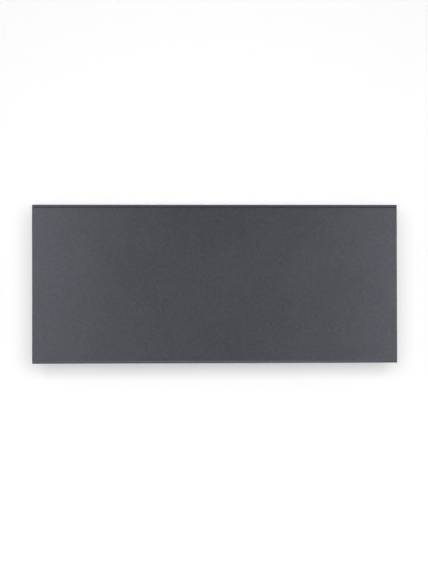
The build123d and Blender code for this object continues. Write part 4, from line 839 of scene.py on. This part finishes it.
cutout_spot = seat("thermal_cutout", to_right)
drum = turned([0, 6.9, 6.9, 7.4, 7.4, 6.2, 6.0, 5.2, 5.0, 0],
              [0, 0, 1, 1.2, 7.5, 7.9, 11.2, 11.6, 12, 12], 48)
piece("cutout_drum", "thermal_cutout", spread(drum, [cutout_spot], to_right))
tab_spots = [cutout_spot + (12, y, 0) for y in (-3.75, 3.75)]
tab = slab(0.8, 4.8, 0, 6, 0.35, 0.15)
added("cutout_tabs", "thermal_cutout", "blade_brass", spread(tab, tab_spots, to_right))
cap_spot = cutout_spot - (0.8, 0, 0)
cap = turned([0, 6.6, 7.6, 8, 8, 0], [4, 4, 3.7, 3.1, -0.4, -0.4], 48)
cap_eye = turned([0, 0.9, 1.6, 1.7, 0], [0.5, 0.5, 0.25, -0.1, -0.1], 24)
piece("cutout_cup", "cutout_cap",
      spread(cap, [cap_spot], to_left)
      + spread(slab(22, 15, -0.8, 0, 3.5, 0.15), [cap_spot], to_left)
      + spread(cap_eye, [cap_spot + (0, y, 0) for y in (-9.5, 9.5)], to_left), smooth=50)

# Electrical bay
relay_spot = [seat("relay", to_front)]
winding_spot = [seat("transformer", to_front)]
capacitor_spot = [seat("capacitor", to_front)]
piece("relay_box", "relay", spread(slab(20, 16, 0, 16, 1.2, 0.6), relay_spot, to_front))
piece("transformer_winding", "transformer", spread(slab(19, 26, 3, 19, 4, 1.2), winding_spot, to_front))
for name, material, shape in (
    ("transformer_core", "core_laminations", slab(30, 13, 3, 22, 0.6, 0.3)),
    ("transformer_foot", "gland_nylon", slab(30, 26, 0, 3.4, 1.5, 0.3)),
):
    added(name, "transformer", material, spread(shape, winding_spot, to_front))
sleeve = turned([0, 5.4, 5.9, 6, 6, 5.6, 5.6, 6, 6, 5.6, 5.1, 5.0, 0],
                [0, 0, 0.3, 0.8, 2.2, 2.7, 3.1, 3.6, 15, 15.8, 16, 15.7, 15.7], 48)
piece("capacitor_can", "capacitor", spread(sleeve, capacitor_spot, to_front), smooth=50)
lid = turned([0, 4.9, 4.9, 0], [15.6, 15.6, 15.78, 15.78], 48)
vent_across = slab(7.5, 0.5, 15.7, 15.84, 0.2, 0.05)
vent_along = slab(0.5, 7.5, 15.7, 15.85, 0.2, 0.05)
added("capacitor_lid", "capacitor", "cutout_cap",
      [made for shape in (lid, vent_across, vent_along) for made in spread(shape, capacitor_spot, to_front)])
z_terminals = seat("board_terminals", to_front)[2]
terminal_spots = [(x, y_board_face - 9.1, z_terminals) for x in terminal_xs]
clamp = slotted_head(1.9, 1.2)
added("board_clamps", "board_terminals", "zinc_screw", spread(clamp, terminal_spots, to_front), smooth=30)

# Small components on the power board, which have no CAD node of their own
chip_x = 322
leg_pitch = 1.27
leg_xs = chip_x + leg_pitch * np.arange(-2.5, 3)
for name, material, shape, spots in (
    ("driver_chip", "chip_resin", slab(9, 6, 0.3, 1.9, 0.5, 0.2), [(chip_x, 82), (chip_x, 30)]),
    ("chip_legs", "radio_can", slab(0.5, 9.2, 0, 0.4, 0.1, 0.05), [(x, z) for x in leg_xs for z in (30, 82)]),
    ("surge_disc", "surge_lacquer", slab(11, 3.6, 0, 11, 1.7, 0.8), [(299, 55)]),
    ("filter_block", "surge_lacquer", slab(14, 7, 0, 12, 0.8, 0.5), [(352, 74)]),
    ("lead_headers", "white_nylon", slab(15, 4.4, 0, 3.4, 0.4, 0.2), [(342, 90)]),
    ("sensor_header", "white_nylon", slab(6, 4.4, 0, 3.4, 0.4, 0.2), [(348.5, 29.5)]),
):
    added(name, "power_board", material, spread(shape, [(x, y_board_face, z) for x, z in spots], to_front))
resistor_spots = [
    (x, y_board_face - 1.2, z) for x, z in ((286, 60), (286, 52), (286, 44), (345, 24), (356, 36), (356, 46))
]
resistor_radii = np.array([0, 0.9, 1.15, 1.15, 0.95])
resistor_levels = np.array([2.95, 2.9, 2.4, 1.6, 1.4])
resistor = turned([*resistor_radii, *resistor_radii[::-1]], [*-resistor_levels, *resistor_levels[::-1]], 24)
added("resistors", "power_board", "resistor_lacquer", spread(resistor, resistor_spots, to_ceiling), smooth=50)
wire_radii = [0, 0.3, 0.3, 0]
leg_spots = [(x, y_board_face, z + side) for x, y, z in resistor_spots for side in (-3.4, 3.4)]
added("resistor_leads", "power_board", "solder",
      spread(turned(wire_radii, [-3.7, -3.7, 3.7, 3.7], 12), resistor_spots, to_ceiling)
      + spread(turned(wire_radii, [0.05, 0.05, 1.45, 1.45], 12), leg_spots, to_front), smooth=50)
y_board_back = seat("power_board", to_front)[1]
joint = turned([0, 0.3, 0.8, 1.3, 1.4, 0], [1.2, 1.1, 0.6, 0.1, -0.1, -0.1], 20)
joint_spots = [(x, y_board_back, z) for x in np.arange(288, 356, 6.5) for z in (36, 44, 60, 68)]
added("solder_joints", "power_board", "solder", spread(joint, joint_spots, to_wall), smooth=60)

# Cable gland: a hexagon under the floor, a threaded body with its nut inside, and a soft seal round the bore
gland_place = [(*seat("cable_gland", to_floor)[:2], case_low[2])]
crest = np.tile([6.45, 6.45, 6.05, 6.05], 8)
crest_level = -(np.repeat(np.arange(8), 4) * 1.5 + np.tile([0.15, 0.45, 0.9, 1.2], 8)) - 0.1
gland = np.concatenate([
    turned([5.6, 7.9, 8.5, 8.5, 8.3], [1.8, 1.8, 1.45, 0.25, 0.0], 48, 6),
    turned([6.45, *crest, 6.0], [0, *crest_level, -12.2], 48),
    turned([5.2, 4.9, 5.2], [-12.2, -6, 1.8], 48),
])
piece("gland_body", "cable_gland",
      ring_shapes(gland, gland_place, to_floor)
      + ring_shapes(washer(8.5, 6.2, -6.0, -1.0, 6, 0.5), gland_place, to_floor), smooth=30)
seal_ring = turned([5.15, 5.15, 4.6, 3.8, 3.76, 3.76], [-8, 1.2, 1.6, 1.3, 0.9, -8], 48)
added("gland_seal", "cable_gland", "soft_rubber", ring_shapes(seal_ring, gland_place, to_floor), smooth=50)

# Room sensor
bead = turned([0, 1.2, 1.8, 2, 2, 1.7, 1.0, 0], [0, 0, 0.3, 0.9, 6.6, 8, 8.8, 9])
piece("sensor_bead", "room_sensor", spread(bead, [seat("room_sensor", to_front)], to_front), smooth=50)

# Controls: plunger tips under the buttons, and printed marks on them
print_levels = (0.0, 0.03)
bar_mark = slab(3.4, 0.6, *print_levels, 0.25, 0.01)
arm_mark = slab(0.6, 1.4, *print_levels, 0.1, 0.01)
ring_mark = washer(1.75, 1.2, *print_levels, 0, 0.01)
tip = turned([0, 1.45, 1.75, 1.75, 0], [3.0, 3.0, 2.75, 0, 0])
mark_place = {name: seat("button_" + name, to_floor) for name in ("minus", "ok", "plus")}
for name in mark_place:
    plunger = "plunger_" + name
    piece("plunger_tip_" + name, plunger, spread(tip, [seat(plunger, to_ceiling)], to_ceiling), smooth=50)
arm_places = [mark_place["plus"] + (0, y, 0) for y in (-1, 1)]
for name, marks in (
    ("minus", spread(bar_mark, [mark_place["minus"]], to_ceiling)),
    ("ok", ring_shapes(ring_mark, [mark_place["ok"]], to_ceiling)),
    ("plus", spread(bar_mark, [mark_place["plus"]], to_ceiling) + spread(arm_mark, arm_places, to_ceiling)),
):
    added(name + "_mark", "button_" + name, "white_print", marks)

# Display and its two unlit digits
display_height = 6.75
display_spot = seat("display_module", to_ceiling)
piece("display_body", "display_module",
      spread(slab(26, 14, 0, display_height, 0.6, 0.2), [display_spot], to_ceiling))
digit_spots = [display_spot + (x, 0, display_height) for x in (-3.5, 3.5)]
across_spots = [spot + (0, y, 0) for spot in digit_spots for y in (-4.4, 0, 4.4)]
along_spots = [spot + (x, y, 0) for spot in digit_spots for x in (-2.2, 2.2) for y in (-2.2, 2.2)]
added("display_segments", "display_module", "unlit_segment",
      spread(slab(3.6, 0.8, 0, 0.05, 0.35, 0.01), across_spots, to_ceiling)
      + spread(slab(0.8, 3.6, 0, 0.05, 0.35, 0.01), along_spots, to_ceiling))

# Radio module: shield, board, and a printed aerial of four turns
radio_spot = seat("wifi_module", to_floor)
shield_spot = [radio_spot + (2, 0, 0)]
piece("radio_shield", "wifi_module", spread(slab(13, 15, 0.6, 2.4, 0.5, 0.2), shield_spot, to_floor))
added("radio_board", "wifi_module", "control_laminate",
      spread(slab(18, 16, 0, 0.7, 0.3, 0.05), [radio_spot], to_floor))
track_spots = [radio_spot + (x, 0, 0) for x in (-7.8, -6.0)]
turn_spots = [radio_spot + (-6.9, y, 0) for y in (-5, -1.6, 1.8, 5)]
added("radio_antenna", "wifi_module", "copper_track",
      spread(slab(0.5, 12, 0.7, 0.74, 0.1, 0.01), track_spots, to_floor)
      + spread(slab(1.6, 0.5, 0.7, 0.74, 0.1, 0.01), turn_spots, to_floor))

# Mains switch: its rocker's two faces carry a bar and a ring
rocker_tilt = radians(8)
rocker_out = np.array([np.cos(rocker_tilt), 0, np.sin(rocker_tilt)])
rocker_along = np.array([-np.sin(rocker_tilt), 0, np.cos(rocker_tilt)])
x_rocker_pin = 381.544
rocker_pin = np.array([x_rocker_pin, *seat("rocker_housing", to_left)[1:]])
face_out, face_along = 3.03, 3.9


def on_rocker(side):
    """Place and way for a mark on the rocker's upper (1) or lower (-1) face."""
    slope_along = np.cos(rocker_tilt) * rocker_along + side * np.sin(rocker_tilt) * rocker_out
    place_at = rocker_pin + face_out * rocker_out + side * face_along * rocker_along
    return [place_at], {"across": (0, 1, 0), "along": slope_along}


added("on_mark", "rocker", "white_print", spread(slab(0.7, 3.4, *print_levels, 0.3, 0.01), *on_rocker(1)))
added("off_mark", "rocker", "white_print", ring_shapes(ring_mark, *on_rocker(-1)))


# Wires: round leads on smooth curves
def smooth_route(points, steps=24):
    """Smooth curve along a route, with steps for each of its sides: round each inner point b it is
    (1 - t)^2 a + 2 t (1 - t) b + t^2 c, where a and c are the middles of the two sides that meet at b, or the
    route's own end."""
    points = np.array(points, float)
    middles = (points[1:-2] + points[2:-1]) / 2
    bends = points[1:-1]
    travel = np.linspace(0, len(bends), steps * (len(points) - 1))
    bend = np.minimum(travel.astype(int), len(bends) - 1)
    t = (travel - bend)[:, None]
    first = np.vstack([points[:1], middles])[bend]
    last = np.vstack([middles, points[-1:]])[bend]
    return (1 - t) ** 2 * first + 2 * t * (1 - t) * bends[bend] + t**2 * last


def lead(name, node, material, points, replaced=()):
    """Insulated wire: rings round the route's curve, p + r (cos a s + sin a t), s and t square to the curve.
    Each ring's cos a is kept, so that a striped insulation can follow it."""
    sides = 20
    radius = 1.1
    path = smooth_route(points)
    tangent = np.gradient(path, axis=0)
    tangent /= np.linalg.norm(tangent, axis=1)[:, None]
    side = np.cross(tangent, (0.57, 0.62, 0.54))
    side /= np.linalg.norm(side, axis=1)[:, None]
    over = np.cross(side, tangent)
    angle = np.linspace(0, 2 * pi, sides, endpoint=False)
    ring = np.cos(angle)[:, None] * side[:, None] + np.sin(angle)[:, None] * over[:, None]
    ends = [np.broadcast_to(path[row], (1, sides, 3)) for row in (0, -1)]
    grid = np.concatenate([ends[0], path[:, None] + radius * ring, ends[1]])
    tube, faces = surface(grid, closed_v=True)
    mesh = bpy.data.meshes.new(name)
    mesh.from_pydata(tube * MM, [], faces)
    stripe = mesh.attributes.new("stripe", "FLOAT", "POINT")
    stripe.data.foreach_set("value", np.tile(np.cos(angle), len(grid)))
    finish_piece(new_piece(name, mesh), node, replaced, material=material, smooth=50)


lead("supply_live", "supply_wires", "live_wire",
     [(320.5, -32.8, -105), (320.5, -32.8, -84), (320.5, -43.75, -60), (320.5, -43.75, -48.4),
      (334, -43.75, -48.4), (360.5, -43.75, -48.4)], ["supply_wires"])
lead("supply_neutral", "supply_wires", "neutral_wire",
     [(332.5, -32.8, -105), (332.5, -32.8, -84), (332.5, -50.25, -60), (332.5, -50.25, -48.4),
      (343, -50.25, -48.4), (360.5, -50.25, -48.4)])
lead("switched_live", "switched_wires", "live_wire",
     [(360.5, -43.75, -38.6), (346, -43.75, -38.6), (335.5, -43.75, -38.6), (335.5, -43.5, -26),
      (335.5, -38.4, 4), (335.5, -38.4, 20.2)], ["switched_wires"])
lead("switched_neutral", "switched_wires", "neutral_wire",
     [(360.5, -50.25, -38.6), (338, -50.25, -38.6), (325.5, -50.25, -38.6), (325.5, -49.8, -26),
      (325.5, -38.4, 4), (325.5, -38.4, 20.2)])
lead("element_return", "element_wires", "element_lead",
     [(282.3, -52, -107), (303, -52, -107), (315.5, -52, -107), (315.5, -52, -93), (315.5, -38.4, 4),
      (315.5, -38.4, 20.2)], ["element_wires"])
lead("element_feed", "element_wires", "element_lead",
     [(276.5, -55.75, -63), (293, -55.75, -63), (305.5, -55.75, -63), (305.5, -55.4, -50), (305.5, -38.4, 4),
      (305.5, -38.4, 20.2)])
lead("cutout_link", "element_wires", "element_lead",
     [(282.3, -52, -103), (300.3, -52, -103), (300.3, -51, -92), (300.3, -49.3, -74), (300.3, -48.25, -63),
      (276.5, -48.25, -63)])
lead("earth_bond", "earth_wire", "striped_wire",
     [(308.5, -32.8, -105), (308.5, -32.8, -88), (308.5, -32.8, -77), (296, -30.7, -77), (275.3, -26.7, -77),
      (275.3, -26.7, -90), (275.3, -26.7, -126.3)], ["earth_wire"])

# Pieces that keep their CAD shape, by the radius of their edges
kept_shapes = {
    "rear_casing": 0.2, "left_end_plate": 0.2, "right_end_plate": 0.2, "partition_plate": 0.15,
    "wall_bracket": 0.3, "snap_spring_left": 0.1, "snap_spring_right": 0.1, "front_clips": 0.15,
    "heat_shield": 0.1, "element_fins": 0.25, "element_bracket": 0.15, "power_board": 0.1,
    "board_terminals": 0.25, "terminal_block": 0.3, "earth_tag": 0.1, "sensor_holder": 0.3,
    "rocker_housing": 0.2, "rocker": 0.3, "switch_terminals": 0.15, "control_housing": 0.3,
    "control_fascia": 0.12, "display_window": 0.1, "control_board": 0.1, "tactile_switches": 0.2,
    "button_minus": 0.15, "button_ok": 0.15, "button_plus": 0.15, "display_cable": 0.12, "sensor_wire": 0.3,
}
for node, edge in kept_shapes.items():
    refined(node + "_finished", node, edge)


# Stage: a white wall behind the heater and a pale floor, clear from behind, which fade out to white
def one_sided(name, middle, facing, tone, glow, fade):
    """Matt surface with a little light of its own, so that it's white where the lamps reach it and its
    shadows stay soft. It's clear from its back, fades out between the fade's two distances from its middle,
    and is shaded as if it faced the given way, so that the wall takes little light from the lamps below."""
    material = bpy.data.materials.new(name)
    material.use_nodes = True
    tree = material.node_tree
    tree.nodes.clear()
    way = place(tree, "ShaderNodeCombineXYZ", dict(zip("XYZ", facing)))[0]
    matt = place(tree, "ShaderNodeBsdfDiffuse", {"Color": (tone, tone, tone, 1), "Normal": way})[0]
    own = place(tree, "ShaderNodeEmission", {"Color": (1, 1, 1, 1), "Strength": glow})[0]
    lit = place(tree, "ShaderNodeAddShader", {0: matt, 1: own})[0]
    clear = place(tree, "ShaderNodeBsdfTransparent")[0]
    away = place(tree, "ShaderNodeVectorMath", {0: object_spot(tree), 1: middle}, operation="DISTANCE")
    back = place(tree, "ShaderNodeNewGeometry")["Backfacing"]
    gone = calculate(tree, "MAXIMUM", back, remap(tree, away["Value"], *fade))
    mixed = place(tree, "ShaderNodeMixShader", {0: gone, 1: lit, 2: clear})[0]
    place(tree, "ShaderNodeOutputMaterial", {"Surface": mixed})
    return material


def stage_sheet(name, middle, across, along, look):
    """Square sheet round its middle, seen by the camera only."""
    reach = 2.5
    signs = np.array([(-1, -1), (1, -1), (1, 1), (-1, 1)])
    mesh = bpy.data.meshes.new(name)
    mesh.from_pydata(middle + reach * signs @ np.array([across, along]), [], [(0, 1, 2, 3)])
    made = bpy.data.objects.new(name, mesh)
    scene.collection.objects.link(made)
    made.data.materials.append(one_sided(name + "_white", middle, *look))
    for rays in ("diffuse", "glossy", "transmission", "shadow"):
        setattr(made, "visible_" + rays, False)


# Looks of the stage: the way it's shaded, its tone, its own light, and where it fades
wall_look = ((0, -0.86, 0.5), 0.8, 0.38, (0.8, 1.5))
floor_look = ((0, 0, 1), 0.4, 0.72, (0.9, 2.2))
stage_sheet("wall", (0, 0.5 * MM, 0), (1, 0, 0), (0, 0, 1), wall_look)
stage_sheet("floor", (0, 0, -0.75), (1, 0, 0), (0, 1, 0), floor_look)


def softbox(name, place_at, size, energy, unseen_by=()):
    """Rectangular lamp that points at the heater and that the camera doesn't see."""
    lamp = bpy.data.lights.new(name, "AREA")
    lamp.shape = "RECTANGLE"
    lamp.size, lamp.size_y = size
    lamp.energy = energy
    made = bpy.data.objects.new(name, lamp)
    made.location = place_at
    made.rotation_euler = (-Vector(place_at)).to_track_quat("-Z", "Y").to_euler()
    for rays in ("camera", *unseen_by):
        setattr(made, "visible_" + rays, False)
    scene.collection.objects.link(made)


# A wide softbox over the camera gives the light and the shadow, two strips at the sides the sheen, the
# bounce and the glow what a pale floor throws back, and two softboxes behind the heater light its back
softbox("front_softbox", (0.0, -2.4, 0.35), (2.2, 1.35), 42.0, ["glossy"])
softbox("left_strip", (-1.05, -2.25, 0.4), (0.7, 1.8), 32.0, ["diffuse"])
softbox("right_strip", (1.22, -2.2, 0.2), (0.7, 1.8), 30.0, ["diffuse"])
softbox("floor_bounce", (0, -0.35, -1.1), (2.0, 0.5), 18.0, ["glossy"])
softbox("floor_glow", (0, -1.1, -1.0), (2.0, 0.8), 20.0, ["diffuse"])
softbox("rear_softbox_left", (-1.4, 1.8, 0.6), (1.2, 1.6), 42.0)
softbox("rear_softbox_right", (1.4, 1.8, 0.6), (1.2, 1.6), 42.0)

# World: white for the camera, a dim room for the object, and a pale floor and ceiling in its reflections
ambient = 0.3
mirrored_white = 0.7
world = bpy.data.worlds.new("studio")
scene.world = world
world.use_nodes = True
tree = world.node_tree
tree.nodes.clear()
rays = place(tree, "ShaderNodeLightPath")
direction = place(tree, "ShaderNodeTexCoord")["Generated"]
height = place(tree, "ShaderNodeSeparateXYZ", {"Vector": direction})["Z"]
below = remap(tree, height, 0.0, -0.2, ambient, mirrored_white)
above = remap(tree, height, 0.2, 0.6, ambient, mirrored_white)
mirrored = calculate(tree, "MULTIPLY", rays["Is Glossy Ray"], calculate(tree, "MAXIMUM", below, above))
room = calculate(tree, "MAXIMUM", mirrored, ambient)
seen = calculate(tree, "MAXIMUM", rays["Is Camera Ray"], rays["Is Transmission Ray"])
strength = calculate(tree, "MAXIMUM", seen, room)
background = place(tree, "ShaderNodeBackground", {"Color": (1.0, 1.0, 1.0, 1.0), "Strength": strength})
place(tree, "ShaderNodeOutputWorld", {"Surface": background[0]})

# Camera, where the photograph was taken from
camera_distance = 2.5  # in front of the heater's face
camera_aside = -0.078
camera_height = -0.012
camera_yaw = -1.72  # degrees, to the right
camera_pitch = 0.20  # degrees, upwards
camera_roll = 0.09  # degrees
camera_data = bpy.data.cameras.new("camera")
camera_data.sensor_fit = "HORIZONTAL"
camera_data.sensor_width = 36.0
camera_data.lens = 99.2
camera = bpy.data.objects.new("camera", camera_data)
camera.location = (camera_aside, front_low[1] * MM - camera_distance, camera_height)
camera.rotation_euler = (radians(90 + camera_pitch), radians(camera_roll), radians(camera_yaw))
scene.collection.objects.link(camera)
scene.camera = camera
